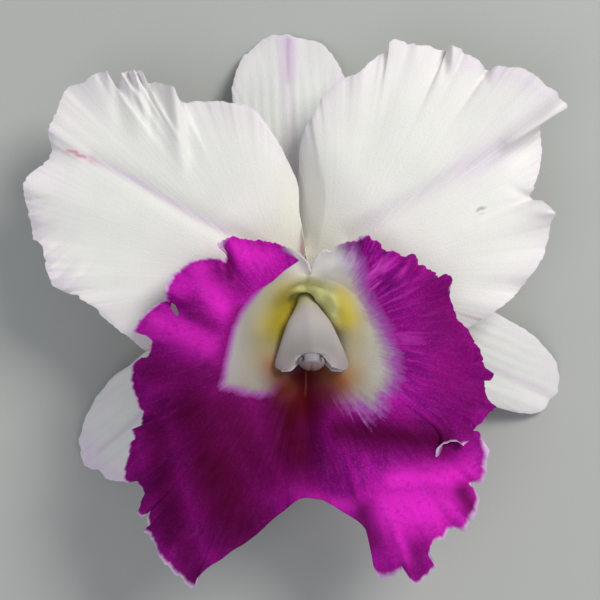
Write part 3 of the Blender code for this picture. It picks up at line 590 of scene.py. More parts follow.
# Each form with its outer end, inner end, width and height; a ledge also has its spread
left_relief = [
    (pleat, (172, 84), (188, 196), 2.0, 1.4), (pleat, (148, 78), (164, 172), 1.8, -0.9),
    (pleat, (132, 70), (145, 170), 1.8, 0.8), (pleat, (112, 80), (127, 152), 1.8, -0.9),
    (pleat, (152, 82), (162, 184), 1.2, 0.6), (pleat, (140, 76), (152, 166), 0.9, 0.5),
    (pleat, (143, 70), (150, 112), 0.8, 0.9), (pleat, (139, 71), (147, 112), 0.6, -0.7),
    (pleat, (134, 69), (146, 120), 0.7, 0.9), (pleat, (128, 72), (142, 118), 0.8, -0.9),
    (pleat, (122, 73), (138, 120), 0.8, 0.8), (pleat, (107, 71), (118, 112), 0.9, 0.8),
    (pleat, (98, 73), (110, 104), 0.9, -0.4), (pleat, (158, 84), (168, 126), 1.0, 0.5),
    (ledge, (180, 96), (187, 180), 0.8, 0.8, 5.0), (pleat, (60, 292), (96, 252), 2.0, 0.8),
    (pleat, (68, 292), (104, 250), 0.5, -0.5), (pleat, (26, 200), (62, 196), 0.7, -0.35),
    (pleat, (29, 216), (66, 206), 0.6, 0.35), (pleat, (33, 230), (66, 216), 0.7, -0.4),
    (pleat, (38, 242), (72, 224), 0.7, 0.4), (pleat, (44, 256), (76, 232), 0.6, -0.4),
    (pleat, (47, 270), (80, 242), 0.7, 0.4), (pleat, (52, 283), (84, 252), 0.6, -0.4),
]
left_midrib = [(256, 250), (228, 233), (197, 217), (166, 199), (136, 181), (112, 168), (92, 159)]
add_petal("left_petal_blade", LEFT_PETAL, 151, left_midrib, left_relief, "left_petal", [
    ("rib", left_midrib[1:], 1.1, 0.42),
    ("mark", [(300, 254), (304, 246), (305, 238)], 1.2, 0.35),
    ("mark", [(68, 151), (77, 152.5)], 0.5, 0.8), ("mark", [(76, 155), (86, 157)], 0.5, 0.8),
    ("mark", [(66, 151), (92, 159)], 1.4, 0.2),
    ("blush", [(25, 180), (50, 170), (60, 185)], 4.0, 0.35),
    ("blush", [(24, 190), (45, 265), (70, 292)], 3.4, 0.5)], 41)
right_relief = [
    (pleat, (448, 52), (437, 88), 1.5, -1.5), (pleat, (488, 69), (484, 90), 1.2, -1.1),
    (pleat, (552, 112), (484, 168), 2.4, 1.6), (ledge, (562, 114), (496, 154), 0.45, 1.7, 4.0),
    (pleat, (447, 52), (444, 86), 0.7, -0.7), (pleat, (452, 46), (454, 84), 0.7, 0.8),
    (pleat, (486, 70), (488, 88), 0.5, -0.7), (pleat, (390, 40), (394, 68), 1.0, 0.7),
    (pleat, (388, 96), (332, 236), 3.4, -0.6), (pleat, (418, 44), (414, 78), 1.6, 0.3),
    (pleat, (531, 198), (500, 184), 1.2, -1.0), (pleat, (552, 212), (508, 210), 1.4, 0.9),
    (inner_strip,),
]
right_midrib = [(350, 236), (372, 222), (420, 196), (460, 172), (500, 151)]
add_petal("right_petal_blade", RIGHT_PETAL, 34, right_midrib, right_relief, "right_petal", [
    ("rib", right_midrib[1:], 2.4, 0.24),
    ("scar", [(478, 211), (480, 207), (482, 210), (485, 207.5)], 0.3, 0.6),
    ("scar", [(479, 214), (484, 213.5)], 0.25, 0.4),
    ("blush", [(470, 168), (505, 146), (540, 110)], 5.0, 0.35),
    ("blush", [(470, 60), (520, 75), (562, 104)], 4.5, 0.5)], 51)

# The lip: one grown blade, rolled into a tube round the column at its foot. It opens over the
# tube's rim into two side lobes above and a broad, notched middle lobe below. Its skin is
# velvety magenta with a white and yellow throat, and its margin is ruffled and finely toothed.
LIP_CLAW = 0.9
LIP_ROOT = PETAL_ROOT + PETAL_CLAW / 2 + GAP + LIP_CLAW / 2
LIP_ROWS, LIP_COLUMNS = 66, 1040
LIP_FINE_FROM = 44         # rows from here out take every column
RIM_CENTRE = (1.5, -9.6)   # mouth of the lip's tube, an ellipse round the column
RIM_HALF = (16.8, 15.7)
RIM_TOP, RIM_RISE, RIM_FLOOR_DIP = 4.5, 9.5, 2.5   # the rim climbs from its top to its floor
TUBE_FOOT_RADIUS = 3.9
CLASP = 0.35               # share by which the tube's foot turns in
HUG_MIDDLE = 1.3           # the way, in radians from x, that the tube hugs the column
LEAN_IN, LEAN_MIDDLE = 1.9, 0.95   # how far the tube leans in over the foot, and which way
LEAN_HEIGHT, LEAN_SPREAD = 0.14, 0.1   # shares of the way up the tube
LIP_BELLY = 3.2
LIP_GROOVE, GROOVE_X, GROOVE_HALF = 2.6, 1, 3.6
LIP_CRIMP = 0.55
LIP_VEIN = 0.07            # veins stand up a little, about 2 mm apart
LIP_MARGIN = [             # here the third value is the margin's own height
    (311.4, 273, 5.4), (309.6, 266, 6.6), (306.2, 259.5, 7.6), (301.2, 255.2, 8.1),
    (296, 251.8, 8.4), (290, 248.8, 8.8), (284, 246.5, 9), (279, 244.5, 9.2), (275, 243, 9.2),
    (269, 242, 9.4), (262, 241, 9.5),
    (256, 240, 9.2), (250, 240, 9.6), (245, 239, 9.9), (240, 238, 10.2), (232, 236, 10.8),
    (228, 237, 11.6), (225, 239, 12.4), (221, 241.5, 13), (218, 245, 13.2), (220, 248, 12.8),
    (225, 250, 12), (227, 258, 10.6), (222, 259, 9.6), (217, 258.5, 9.2), (211, 258.5, 8.8),
    (205, 258, 8.4), (200, 259, 8.1), (195, 260, 8), (190, 262, 8.2), (185, 265, 8.6),
    (178, 270, 9.2), (173, 274, 9.9), (170, 278, 10.4), (166, 285, 11.4), (164, 291, 12),
    (165, 296, 11.4), (166.5, 299.5, 10), (164, 301.5, 8.8), (159, 303.5, 8.4),
    (152, 308, 7.8), (145, 315, 7.5), (141, 319, 7.6), (138, 323, 7.8), (135.5, 327, 8.2),
    (133, 331, 8.6), (136, 333, 9), (140, 334, 9.4), (147, 337, 10.2), (151, 341, 11),
    (150.5, 346, 10.8), (150, 350, 10), (148.5, 354, 9.4), (147, 357, 9), (144, 360, 8.4),
    (140, 358, 8), (137, 360, 7.7), (134, 363, 7.5), (132, 366, 7.6), (131, 370, 8), (130, 380, 9),
    (132, 388, 9.6), (133, 394, 10.2), (136, 397, 10.8), (138, 402, 10.6), (137, 407, 10),
    (140, 410, 9.6), (143, 412, 9.4), (142, 416, 8.8), (141, 420, 8.2), (141.5, 425, 7.4),
    (141, 430, 7), (136, 430.5, 7.2), (131, 430, 7.6), (133, 435, 7.8), (136, 440, 7.8),
    (130, 443, 8.4), (129, 449, 8.8), (129, 455, 9), (127.5, 459, 9.2), (126, 463, 9.4),
    (124.5, 468, 9.5), (124, 472, 9.3), (124, 480, 8), (126, 483, 7), (131, 482, 6.2), (136, 482, 6),
    (138, 485, 6), (140, 488, 6.2), (142, 491.5, 6.6), (144, 495, 7), (142.5, 498.5, 7.4),
    (141, 502, 7.9), (139, 508, 8.8), (138, 514, 9.4), (143, 516, 9.2), (148, 512, 8.6),
    (151, 509, 8.2), (149.5, 514, 7.8), (147, 519, 7.2), (148.5, 523, 6.6), (149, 528, 6),
    (144, 531, 5.6), (147, 533, 5.6), (150, 535, 5.8), (152, 540, 6.2), (155, 545, 6.8),
    (157.5, 551, 7.1), (160, 557, 7.3), (163, 561, 7.5), (167, 565, 7.4), (171, 569, 6.6),
    (175, 573, 5.8), (182, 578, 4.8), (185, 583, 4), (190, 587, 3.2), (195, 587, 3), (196, 584, 3.6),
    (197, 580, 4.4), (200, 575, 5.4), (210, 566, 6.8), (220, 560, 7.4), (233, 550, 7.2),
    (245, 543, 7), (258, 533, 8), (272, 520, 9), (285, 510, 10.4), (295, 502, 11.5),
    (300, 499, 11.7), (305, 498, 11.8), (315, 499, 11.5), (322, 500, 10.8), (330, 504, 9.7),
    (340, 510, 8.6), (350, 516, 7.7), (358, 521, 7), (365, 528, 6.7), (371, 536, 6.5),
    (374, 545, 6.4), (374, 560, 4.8), (375, 570, 3.8), (380, 577, 2.8), (386, 578, 2.6),
    (393, 575, 4), (400, 571, 5.6), (403, 568, 6.2), (405, 571, 5.6), (408, 575, 4.8),
    (413, 583, 3.8), (417, 584, 3.4), (422, 580, 3.6), (428, 575, 3.8), (432, 570, 4.2),
    (436, 567, 4.6), (433, 562, 5.8), (430, 557, 6.8), (430, 550, 7.6), (433, 543, 7.2),
    (438, 540, 6.8), (444, 538, 6.2), (448, 530, 5), (455, 528, 4.5), (464, 530, 5.4), (468, 525, 6),
    (472, 518, 7), (476, 513, 7.6), (478, 505, 8), (478, 498, 7), (475, 490, 5.6), (470, 484, 4.8),
    (474, 482, 4.6), (482, 483, 4.8), (484, 478, 5.2), (486, 470, 5.8), (487, 460, 6.4),
    (489, 450, 7), (486, 445, 6.8), (482, 438, 6.6), (479, 432, 6.4), (472, 431, 6.6),
    (462, 436, 7), (450, 446, 7.6), (442, 454, 8.8), (438, 459, 12), (435.5, 456, 14.3),
    (436.5, 450.5, 14.8), (440, 446.5, 14.6), (446, 443.5, 14.2), (452, 441.5, 13.8), (458, 442, 13.5),
    (463.5, 445.5, 13.2), (467, 443, 13), (471, 436, 12.8), (476, 428, 12.8), (480, 424, 13),
    (485, 418, 13.1), (490, 412, 13.1), (496, 407, 13), (490, 402, 12.4), (487, 395, 11.4),
    (485.5, 390, 10.6), (484, 385, 10), (483, 381, 9.4), (486, 380.5, 8.8), (490, 380, 8.4),
    (494, 375, 8), (490, 371, 8.4), (485, 367, 9), (484, 364, 9.4), (483, 360, 9.8),
    (480, 350, 10.6), (475, 343, 11.4), (470, 335, 12), (466, 328, 11.4), (462, 323, 10.6),
    (457, 320, 9.8), (455, 313, 9.2), (453, 305, 8.6), (451, 300, 8.2), (449, 294, 8),
    (450, 289, 8.6), (451, 285, 9.6), (452, 280, 11), (450, 276, 11.8), (448, 274.5, 12),
    (446, 274, 11.8), (443, 276, 10.6), (440, 279, 9.2), (437, 276, 9), (435, 273, 9),
    (430, 270, 8.4), (423, 266, 7.8), (418, 265, 7.5), (417, 258, 8.6), (416, 256, 9.6),
    (414, 254, 10.4), (410, 255, 10.2), (405, 258, 9.4), (400, 254, 10.6), (396, 252.5, 11.2),
    (392, 251, 11.5), (385, 251, 10.6), (382, 247, 10), (380, 243, 9.6), (375, 240, 9.5),
    (371, 240, 10), (370, 235, 12), (365, 235, 12.2), (360, 236, 12), (358.5, 238.5, 11.4),
    (357, 240, 11.4), (350, 242, 12), (346, 243, 11.6), (342, 244, 11.2), (335, 248, 10.2),
    (330, 251, 9.5), (325.5, 251, 9.1), (322, 251, 8.8), (318.5, 253.5, 8.3), (316, 257, 7.6),
    (313.4, 261.5, 6.5), (311, 266.5, 5.4), (309, 272, 4.4),
]
THROAT_OUTLINE = [         # where the magenta gives way to the white throat
    (314, 236), (290, 236), (284, 248.5), (299.5, 260), (284, 270.5), (272, 281), (262, 288),
    (251, 300), (241, 314), (234, 330),
    (230, 346), (226, 365), (223, 386), (240, 391), (258, 394), (272, 391), (282, 380),
    (292, 372), (306, 369), (322, 372), (334, 381), (340, 394), (356, 404), (372, 411), (384, 398),
    (394, 378), (393, 360), (388, 344), (382, 328), (371, 310), (362, 288), (357, 264), (350, 250),
    (342, 236), (326, 232),
]
LIP_FOLDS = [              # outer end, inner end, width, height
    ((226, 251), (240, 292), 1.5, -2.8), ((216, 250), (232, 294), 1.5, 1.2),
    ((262, 240), (276, 286), 2.4, 0.6), ((245, 239), (258, 280), 1.6, -0.5),
    ((168, 301), (208, 336), 1.8, -1.6), ((146, 318), (206, 342), 2.2, 1.0),
    ((151, 346), (196, 352), 1.6, -1.0), ((133, 372), (170, 376), 2.0, 0.5),
    ((139, 402), (168, 402), 1.2, -0.6), ((143, 414), (166, 414), 0.8, 0.5),
    ((134, 436), (170, 440), 1.0, 0.6), ((126, 466), (176, 456), 3.0, 0.5),
    ((150, 510), (186, 492), 1.6, -0.4), ((160, 556), (200, 520), 2.6, 0.5),
    ((195, 584), (230, 535), 3.6, -0.25), ((300, 499), (302, 452), 2.0, -0.5),
    ((362, 524), (350, 486), 2.2, -0.5), ((384, 577), (366, 500), 3.2, -1.1),
    ((403, 568), (397, 545), 0.8, -1.2), ((409, 574), (392, 502), 1.5, 1.4),
    ((433, 548), (410, 520), 1.6, -0.8), ((462, 530), (430, 500), 2.6, 0.6),
    ((487, 462), (440, 452), 2.4, 0.6), ((484, 380), (450, 378), 1.6, -0.7),
    ((482, 350), (440, 348), 2.6, 0.5), ((452, 298), (420, 310), 1.6, -0.7),
    ((450, 277), (410, 296), 1.2, 1.3), ((419, 265), (392, 296), 1.2, -1.4),
    ((413, 255), (386, 302), 1.1, 1.7), ((385, 251), (368, 288), 1.1, -0.9),
    ((368, 236), (360, 268), 1.0, 0.8), ((358, 241), (354, 270), 0.8, -0.5),
]
LIP_SWELLS = [             # height, places, width
    # A thin roll of the tube stands round the column's foot, and closes up to it on the right
    (0.8, [(306, 289), (314, 289.5), (324, 293), (332, 299), (335, 306), (333, 314)], 0.9),
    (2.1, [(318, 301), (322, 308), (328, 317), (333, 323)], 1.8),
    (1.8, [(298, 298), (294, 308), (289, 320)], 1.7),
    # The tube's floor stands up in two low cushions beside the column
    (2.4, [(264, 330), (271, 350), (277, 374)], 4.4),
    (1.5, [(338, 308), (348, 334), (343, 374)], 3.4),
]
TONGUE_TURN, TONGUE_WIDTH = 5.68, 0.16     # the right side lobe's end curls over the middle lobe
TONGUE_LEDGE = ((474, 484), (420, 481), 0.3, -0.8, 3.0)
SMOOTH_EDGE = [(206, 572), (258, 533), (300, 499), (350, 516), (371, 536)]
KEYHOLE = (174.8, 309.5)   # a slot that stays open where two ruffles of the margin have met
KEYHOLE_HALF = (0.8, 1.9)
KEYHOLE_SLANT = 0.43
KEYHOLE_BAND = 8           # it lies within this many millimetres of the margin
# Soft patches of the lip's colour, painted light and painted shade among them: strength, places on the
# paper and width
LIP_PATCHES = {
    # Painted light: brighter magenta on the lobes' faces and ridges that catch the light
    "painted_light": [
        (0.75, [(202, 272), (220, 306)], 3.6), (0.7, [(236, 250), (262, 256)], 3.6),
        (0.8, [(158, 324), (206, 346)], 3.4), (1, [(396, 480), (466, 472)], 3.6),
        (1, [(396, 512), (446, 504)], 8.0), (0.9, [(390, 500), (404, 560)], 1.8),
        (1, [(336, 504), (354, 506)], 2.2), (0.4, [(186, 287), (190, 281)], 3.0),
        (0.5, [(300, 490), (340, 506)], 2.0)],
    # Partly the skin's deeper hue down the middle of the lip, partly painted shade in the valleys, under
    # the curls and over the lower left of the middle lobe
    "deep_and_painted_shade": [
        (0.9, [(190, 410), (214, 470), (236, 520)], 15.0), (0.95, [(290, 410), (292, 450)], 14.0),
        (0.9, [(340, 430), (440, 440)], 6.0), (0.75, [(150, 372), (214, 380)], 7.0),
        (0.55, [(240, 312), (227, 340), (218, 372)], 2.6),
        (0.7, [(227, 258), (230, 278)], 1.6), (0.5, [(190, 306), (212, 326)], 3.0),
        (0.56, [(440, 300), (454, 345), (464, 396)], 11.0), (0.6, [(364, 510), (374, 540)], 2.8),
        (0.5, [(446, 416), (470, 406), (464, 430)], 5.0), (0.85, [(160, 430), (166, 482), (176, 530)], 8.0),
        (0.8, [(222, 410), (250, 445), (266, 474)], 12.0),
        (0.35, [(216, 275), (240, 290)], 3.4), (0.45, [(421, 546), (414, 568)], 3.4),
        (0.75, [(462, 492), (470, 506)], 2.6),
        (0.7, [(447, 449), (459, 448)], 0.9), (0.75, [(180, 530), (198, 578)], 7.0),
        (0.6, [(138, 372), (136, 460), (152, 530)], 6.0)],
    "maroon": [
        (0.95, [(306, 372), (304, 404)], 5.5), (0.35, [(303, 400), (300, 455)], 3.4),
        (0.75, [(284, 388), (328, 392)], 4.5),
        (0.3, [(240, 420), (232, 480)], 9.0)],
    "pale": [
        (1, [(306, 262), (322, 256), (340, 252)], 5.0), (0.5, [(330, 262), (356, 300)], 4.0),
        (0.3, [(372, 330), (376, 370)], 4.0)],
    "lilac": [
        (0.8, [(344, 240), (352, 268)], 3.0), (0.3, [(232, 330), (226, 380)], 3.0),
        (0.4, [(290, 250), (304, 262)], 2.0)],
    "straw": [
        (0.6, [(280, 304), (266, 334), (262, 356)], 4.0), (0.7, [(346, 300), (356, 340), (352, 372)], 4.5)],
    "yellow": [
        (0.9, [(291, 297), (284, 311), (278, 326)], 4.2), (0.9, [(337, 300), (343, 308), (346, 318)], 3.4)],
    # Painted shade on the tube's left wall beside the column
    "painted_wall_shade": [(0.5, [(284, 307), (278, 320), (270, 338)], 4.0)],
    "veined": [(1, [(364, 254), (384, 288)], 6.0), (0.4, [(392, 306), (404, 340), (402, 376)], 5.0)],
    # Yellow-green tissue round the column's foot, set pale as painted light where the roll lies in shade
    "green": [
        (0.9, [(307, 287), (314, 287), (322, 291)], 2.4), (1.0, [(320, 292), (332, 300), (333, 312)], 2.0),
        (0.7, [(294, 293), (302, 288)], 1.6)],
    "brown": [
        (0.95, [(320, 370), (331, 378), (340, 382)], 4.0), (0.6, [(340, 372), (350, 378)], 3.4),
        (0.85, [(274, 366), (282, 377), (292, 384)], 3.4)],
    "line": [(0.5, [(306, 372), (306, 388)], 0.25), (0.25, [(306, 388), (305, 396)], 0.25)],
}
FRINGE_WIDE = [            # where the margin's pale fringe reaches further in
    (0.45, [(484, 440), (486, 470), (476, 508), (440, 540)], 4.0),
    (0.5, [(376, 574), (402, 572)], 3.0), (0.35, [(170, 272), (165, 296)], 3.0),
    (0.35, [(150, 530), (190, 586)], 4.0), (0.8, [(214, 243), (221, 250), (225, 262)], 1.6),
]
FRINGE_FAINT = [           # where it fades or is gone
    (1, [(238, 237), (275, 243), (304, 262), (311, 274)], 2.0),
    (1, [(312, 270), (319, 252), (346, 243)], 2.0), (0.8, [(372, 240), (412, 256), (448, 275)], 1.6),
    (0.9, [(451, 300), (480, 352), (492, 378)], 1.8), (0.7, [(486, 388), (493, 406), (472, 436)], 2.0),
]
FRINGE_GONE = [(1, [(212, 568), (258, 533), (300, 499), (350, 516), (371, 536)], 2.5)]
FRINGE_ON_LEDGE = [(1, [(470, 485), (450, 485), (428, 482)], 0.6)]


def lip_blade(rows, columns):
    """The lip from the foot of its tube, over the mouth's rim, to its waved margin.

    q runs from 0 to 1 up the tube, and p from 0 at the rim to 1 at the margin.
    """
    edge = trace(on_paper(LIP_MARGIN), columns)
    around = np.concatenate([[0], np.cumsum(np.linalg.norm(np.diff(edge[:, :2], axis=0), axis=1))])
    even = evened(edge, 0.035 * columns)
    fine = edge - evened(edge, 0.004 * columns)
    notch = edge - even - fine
    broad = evened(edge[:, 2], 0.09 * columns)
    # The lower edge of the middle lobe is smooth; the rest of the margin is finely toothed
    frayed = 1 - spot(edge[:, 0], edge[:, 1], SMOOTH_EDGE, 3.0)
    cx, cy = RIM_CENTRE
    angle = np.unwrap(np.arctan2(edge[:, 1] - cy, edge[:, 0] - cx))
    angle = evened(np.sort(angle), 0.05 * columns)
    rim_x = cx + RIM_HALF[0] * np.cos(angle)
    rim_y = cy + RIM_HALF[1] * np.sin(angle)
    low = (1 - np.sin(angle)) / 2              # 0 at the top of the mouth, 1 at its floor
    rim_z = RIM_TOP + RIM_RISE * np.sqrt(low) - RIM_FLOOR_DIP * low**3
    foot = 1 + LIP_ROOT / SEEN_FROM            # drawn as it looks from the front
    foot_x = (NECK[0] + TUBE_FOOT_RADIUS * np.cos(angle)) * foot
    foot_y = (NECK[1] + TUBE_FOOT_RADIUS * np.sin(angle)) * foot
    tube = np.hypot(np.hypot(rim_x - foot_x, rim_y - foot_y), rim_z - LIP_ROOT)
    lobe = np.hypot(even[:, 0] - rim_x, even[:, 1] - rim_y)
    split = tube / (tube + np.maximum(lobe, 1))
    r = 1 - (1 - np.linspace(0, 1, rows + 1)[:, None]) ** 1.25
    q = np.clip(r / split, 0, 1)
    p = np.clip((r - split) / (1 - split), 0, 1)
    flare = q ** (1.5 - 0.3 * low**2)
    # Above and to the right the tube hugs the column, then turns out into a shelf
    hug = smooth(np.cos(angle - HUG_MIDDLE), -0.35, 0.9)
    climb = (np.sin(0.4 * math.pi * q) / math.sin(0.4 * math.pi)) ** (0.85 - 0.5 * hug)
    # The foot turns in and clasps the column
    clasp = 1 - CLASP * (1 - smooth(q, 0, 0.1))
    x = NECK[0] * foot + (foot_x - NECK[0] * foot) * clasp + (rim_x - foot_x) * flare
    y = NECK[1] * foot + (foot_y - NECK[1] * foot) * clasp + (rim_y - foot_y) * flare
    lean = LEAN_IN * smooth(np.cos(angle - LEAN_MIDDLE), -0.55, 0.85)
    lean = lean * np.exp(-((q - LEAN_HEIGHT) / LEAN_SPREAD) ** 2)
    x = x - lean * np.cos(angle) + (even[:, 0] - rim_x) * p
    y = y - lean * np.sin(angle) + (even[:, 1] - rim_y) * p
    outward = np.stack([np.cos(angle), np.sin(angle)], axis=-1)
    teeth = 0.14 * ripple(around, 1.4, 61) + 0.26 * ripple(around, 0.5, 65)
    fine[:, :2] += outward * (frayed * teeth)[:, None]
    held = p ** (3.4 + 10 * np.exp(-((angle - TONGUE_TURN) / TONGUE_WIDTH) ** 2))
    x = x + notch[:, 0] * held + fine[:, 0] * p**14
    y = y + notch[:, 1] * held + fine[:, 1] * p**14
    swell = LIP_BELLY * np.clip(lobe / 24, 0, 1.7) * np.sin(math.pi * p)
    z = LIP_ROOT + (rim_z - LIP_ROOT) * climb + swell + (broad - rim_z) * p**1.7
    z = z + (even[:, 2] - broad) * p**4.5 + notch[:, 2] * p**5 + fine[:, 2] * p**10
    for height, places, width in LIP_SWELLS:
        z = z + height * spot(x, y, places, width)
    # A groove runs from the mouth down the middle lobe
    groove = np.exp(-((x - GROOVE_X) / GROOVE_HALF) ** 2)
    z = z - LIP_GROOVE * (groove * smooth(-y, 14, 26) * (1 - smooth(-y, 34, 52)))
    for fold in LIP_FOLDS:
        z = z + pleat(x, y, *fold)
    z = z + ledge(x, y, *TONGUE_LEDGE)
    z = z + LIP_CRIMP * (ripple(around, 3.4, 62) * p**5 + 0.5 * ripple(around, 1.5, 63) * p**9)
    veins = LIP_VEIN * ripple(angle * 12 + 60, 1.0, 64)
    z = z + veins * smooth(p, 0.02, 0.3) * (1 - smooth(p, 0.7, 1))
    return x, y, z, p, angle + 0 * r, (1 - p) * lobe


def open_keyhole(x, y, to_margin):
    """Points in the slot move out to its rim. Also which they are, and the rim's left side."""
    (hole_x, hole_y), = on_paper([KEYHOLE])
    slant = math.cos(KEYHOLE_SLANT), math.sin(KEYHOLE_SLANT)
    across = (x - hole_x) * slant[0] + (y - hole_y) * slant[1]
    along = (y - hole_y) * slant[0] - (x - hole_x) * slant[1]
    away = np.hypot(across / KEYHOLE_HALF[0], along / KEYHOLE_HALF[1])
    cell = (away[:-1, :-1] + away[1:, 1:] + away[:-1, 1:] + away[1:, :-1]) / 4 < 1.02
    cell &= to_margin[1:, 1:] < KEYHOLE_BAND
    in_hole = np.zeros(away.shape, bool)
    for down, right in ((0, 0), (0, 1), (1, 0), (1, 1)):
        in_hole[down:down + cell.shape[0], right:right + cell.shape[1]] |= cell
    widen = np.where(in_hole, 1 / np.maximum(away, 0.05), 1)
    left_rim = np.exp(-((away - 1) / 0.5) ** 2) * (to_margin < KEYHOLE_BAND) * (across < 0)
    return hole_x + (x - hole_x) * widen, hole_y + (y - hole_y) * widen, in_hole, left_rim


def inside_by(x, y, outline):
    """How far inside a drawn outline a place is, in millimetres; negative outside it."""
    ring = on_paper(outline)
    step = np.roll(ring, -1, axis=0) - ring
    away = nearest(x, y, ring, step)
    offset = np.stack([x, y], axis=-1)[..., None, :] - ring
    rise = np.where(step[:, 1] == 0, 1e-9, step[:, 1])
    crossed = (offset[..., 1] >= 0) != (offset[..., 1] >= step[:, 1])
    crossed &= offset[..., 0] < offset[..., 1] * step[:, 0] / rise
    return np.where(crossed.sum(-1) % 2 == 1, away, -away)


def lip_tissue():
    """Magenta lip skin: pigment in velvety cells, over white tissue that shows in the throat."""
    skin = new_material("velvety_lip_tissue")
    place = add_node(skin, "TexCoord").outputs["Object"]
    ray = add_node(skin, "Attribute", attribute_name="ray").outputs["Vector"]
    field = {name: add_node(skin, "Attribute", attribute_name=name).outputs["Fac"]
             for name in ("throat", "feather", "blur", "fringe", "back", *LIP_PATCHES)}
    # Pigment runs along the veins, which stand 1.2 mm apart at the throat and fan out
    streaks = []
    for spacing, length in ((1.2, 16), (0.45, 5)):
        drawn_out = add_node(skin, "VectorMath", {0: ray, 1: (1 / spacing, 1 / length, 1)},
                             operation="MULTIPLY")
        streaks.append(add_node(skin, "TexNoise", {"Vector": drawn_out, "Scale": 1.0, "Detail": 3,
                                                   "Roughness": 0.6, "Distortion": 0.3}))
    vein, finer = streaks
    # Skin cells are drawn 0.4 mm wide, the finest that shows here
    cells, mottle, cloud = [
        add_node(skin, "TexNoise", {"Vector": place, "Scale": 1 / (size * MM), "Detail": detail})
        for size, detail in ((0.4, 2), (1.3, 3), (11, 3))]
    streak = add_node(skin, "MapRange", {"Value": vein, "From Min": 0.32, "From Max": 0.68})
    dense = add_node(skin, "MapRange", {"Value": cloud, "From Min": 0.4, "From Max": 0.7,
                                        "To Max": 0.6})
    # Vein streaks, denser pigment in clouds, and painted light: brighter magenta where the lobes catch the
    # light
    tints = [(streak, "#7a0672"), (dense, "#c70fae"), (field["painted_light"], "#ee28cf")]
    for grain, start, tint, most in ((finer, 0.5, "#e03fd0", 0.25), (cells, 0.5, "#e45ad8", 0.22),
                                     (mottle, 0.52, "#5f0458", 0.3)):
        speck = add_node(skin, "MapRange", {"Value": grain, "From Min": start,
                                            "From Max": start + 0.22, "To Max": most})
        tints.append((speck, tint))
    # Near-black wine over the deep patches, uneven along the veins: partly deeper hue, partly painted shade
    uneven = add_node(skin, "MapRange", {"Value": vein, "From Min": 0.3, "From Max": 0.7,
                                         "To Min": 1.08, "To Max": 0.86})
    uneven = add_node(skin, "Math", {0: uneven, 1: field["deep_and_painted_shade"]}, operation="MULTIPLY",
                      use_clamp=True)
    tints.append((uneven, "#42001c"))
    # On the right side lobe the veins stand out, dark violet between paler strips
    for start, end, tint, most in ((0.46, 0.6, "#560a5e", 0.65), (0.5, 0.36, "#d45fc9", 0.5)):
        strip = add_node(skin, "MapRange", {"Value": vein, "From Min": start, "From Max": end,
                                            "To Max": most})
        strip = add_node(skin, "Math", {0: strip, 1: field["veined"]}, operation="MULTIPLY")
        tints.append((strip, tint))
    pigment = colour("#b20da2")
    for amount, tint in tints:
        pigment = add_node(skin, "MixRGB", {"Fac": amount, "Color1": pigment, "Color2": colour(tint)})
    # The throat's white is feathered into the magenta along the veins, over 2 mm or so
    reach = field["throat"]
    for grain, share in ((finer, 0.5), (vein, 1.1), (mottle, 0.5)):
        wander = add_node(skin, "Math", {0: grain, 1: 0.5}, operation="SUBTRACT")
        wander = add_node(skin, "Math", {0: wander, 1: share}, operation="MULTIPLY")
        reach = add_node(skin, "Math", {0: wander, 1: field["feather"], 2: reach},
                         operation="MULTIPLY_ADD")
    less = add_node(skin, "Math", {0: field["blur"], 1: -1.0}, operation="MULTIPLY")
    white = add_node(skin, "MapRange", {"Value": reach, "From Min": less, "From Max": field["blur"]})
    # Painted shade: the throat's cream, cloud and straw tones are set greyer and darker than the living
    # tissue
    cream = colour("#aea99f")
    for amount, tint in ((cloud, "#a09b92"), (field["pale"], "#f1edea"), (field["lilac"], "#c3b7ca"),
                         (field["straw"], "#ada27c"), (field["yellow"], "#d6c138"),
                         (field["painted_wall_shade"], "#6f6616"), (field["green"], "#dedf98")):
        cream = add_node(skin, "MixRGB", {"Fac": amount, "Color1": cream, "Color2": colour(tint)})
    thin = add_node(skin, "MapRange", {"Value": white, "From Max": 0.45})
    full = add_node(skin, "MapRange", {"Value": white, "From Min": 0.4})
    # The pigment thins out in the last half millimetre of the toothed margin, and on the back
    edge = add_node(skin, "Math", {0: finer, 1: 1.0, 2: field["fringe"]}, operation="MULTIPLY_ADD")
    edge = add_node(skin, "MapRange", {"Value": edge, "From Min": 0.5, "From Max": 1.25,
                                       "To Min": 0.9, "To Max": 0}, interpolation_type="SMOOTHSTEP")
    behind = add_node(skin, "Math", {0: field["back"], 1: 0.35}, operation="MULTIPLY")
    body = pigment
    for amount, tint in ((thin, colour("#a55eab")), (full, cream), (field["brown"], colour("#a0643a")),
                         (field["maroon"], colour("#50060f")), (field["line"], colour("#8f5a44")),
                         (edge, colour("#e2c4e9")), (behind, colour("#d3a6d6"))):
        body = add_node(skin, "MixRGB", {"Fac": amount, "Color1": body, "Color2": tint})
    fine = add_node(skin, "Bump", {"Height": cells, "Distance": 0.06 * MM, "Strength": 1.0})
    bump = add_node(skin, "Bump", {"Height": finer, "Distance": 0.1 * MM, "Strength": 0.8,
                                   "Normal": fine})
    shader = add_node(skin, "BsdfPrincipled", {
        "Base Color": body, "Roughness": 0.65, "IOR": 1.4, "Specular IOR Level": 0.05, "Normal": bump,
        "Subsurface Weight": 0.15, "Subsurface Radius": (1.0, 0.5, 0.9),
        "Subsurface Scale": 0.6 * MM, "Sheen Weight": 0.015, "Sheen Roughness": 0.3,
        "Sheen Tint": colour("#ff7af0")})
    add_node(skin, "OutputMaterial", {"Surface": shader})
    return skin


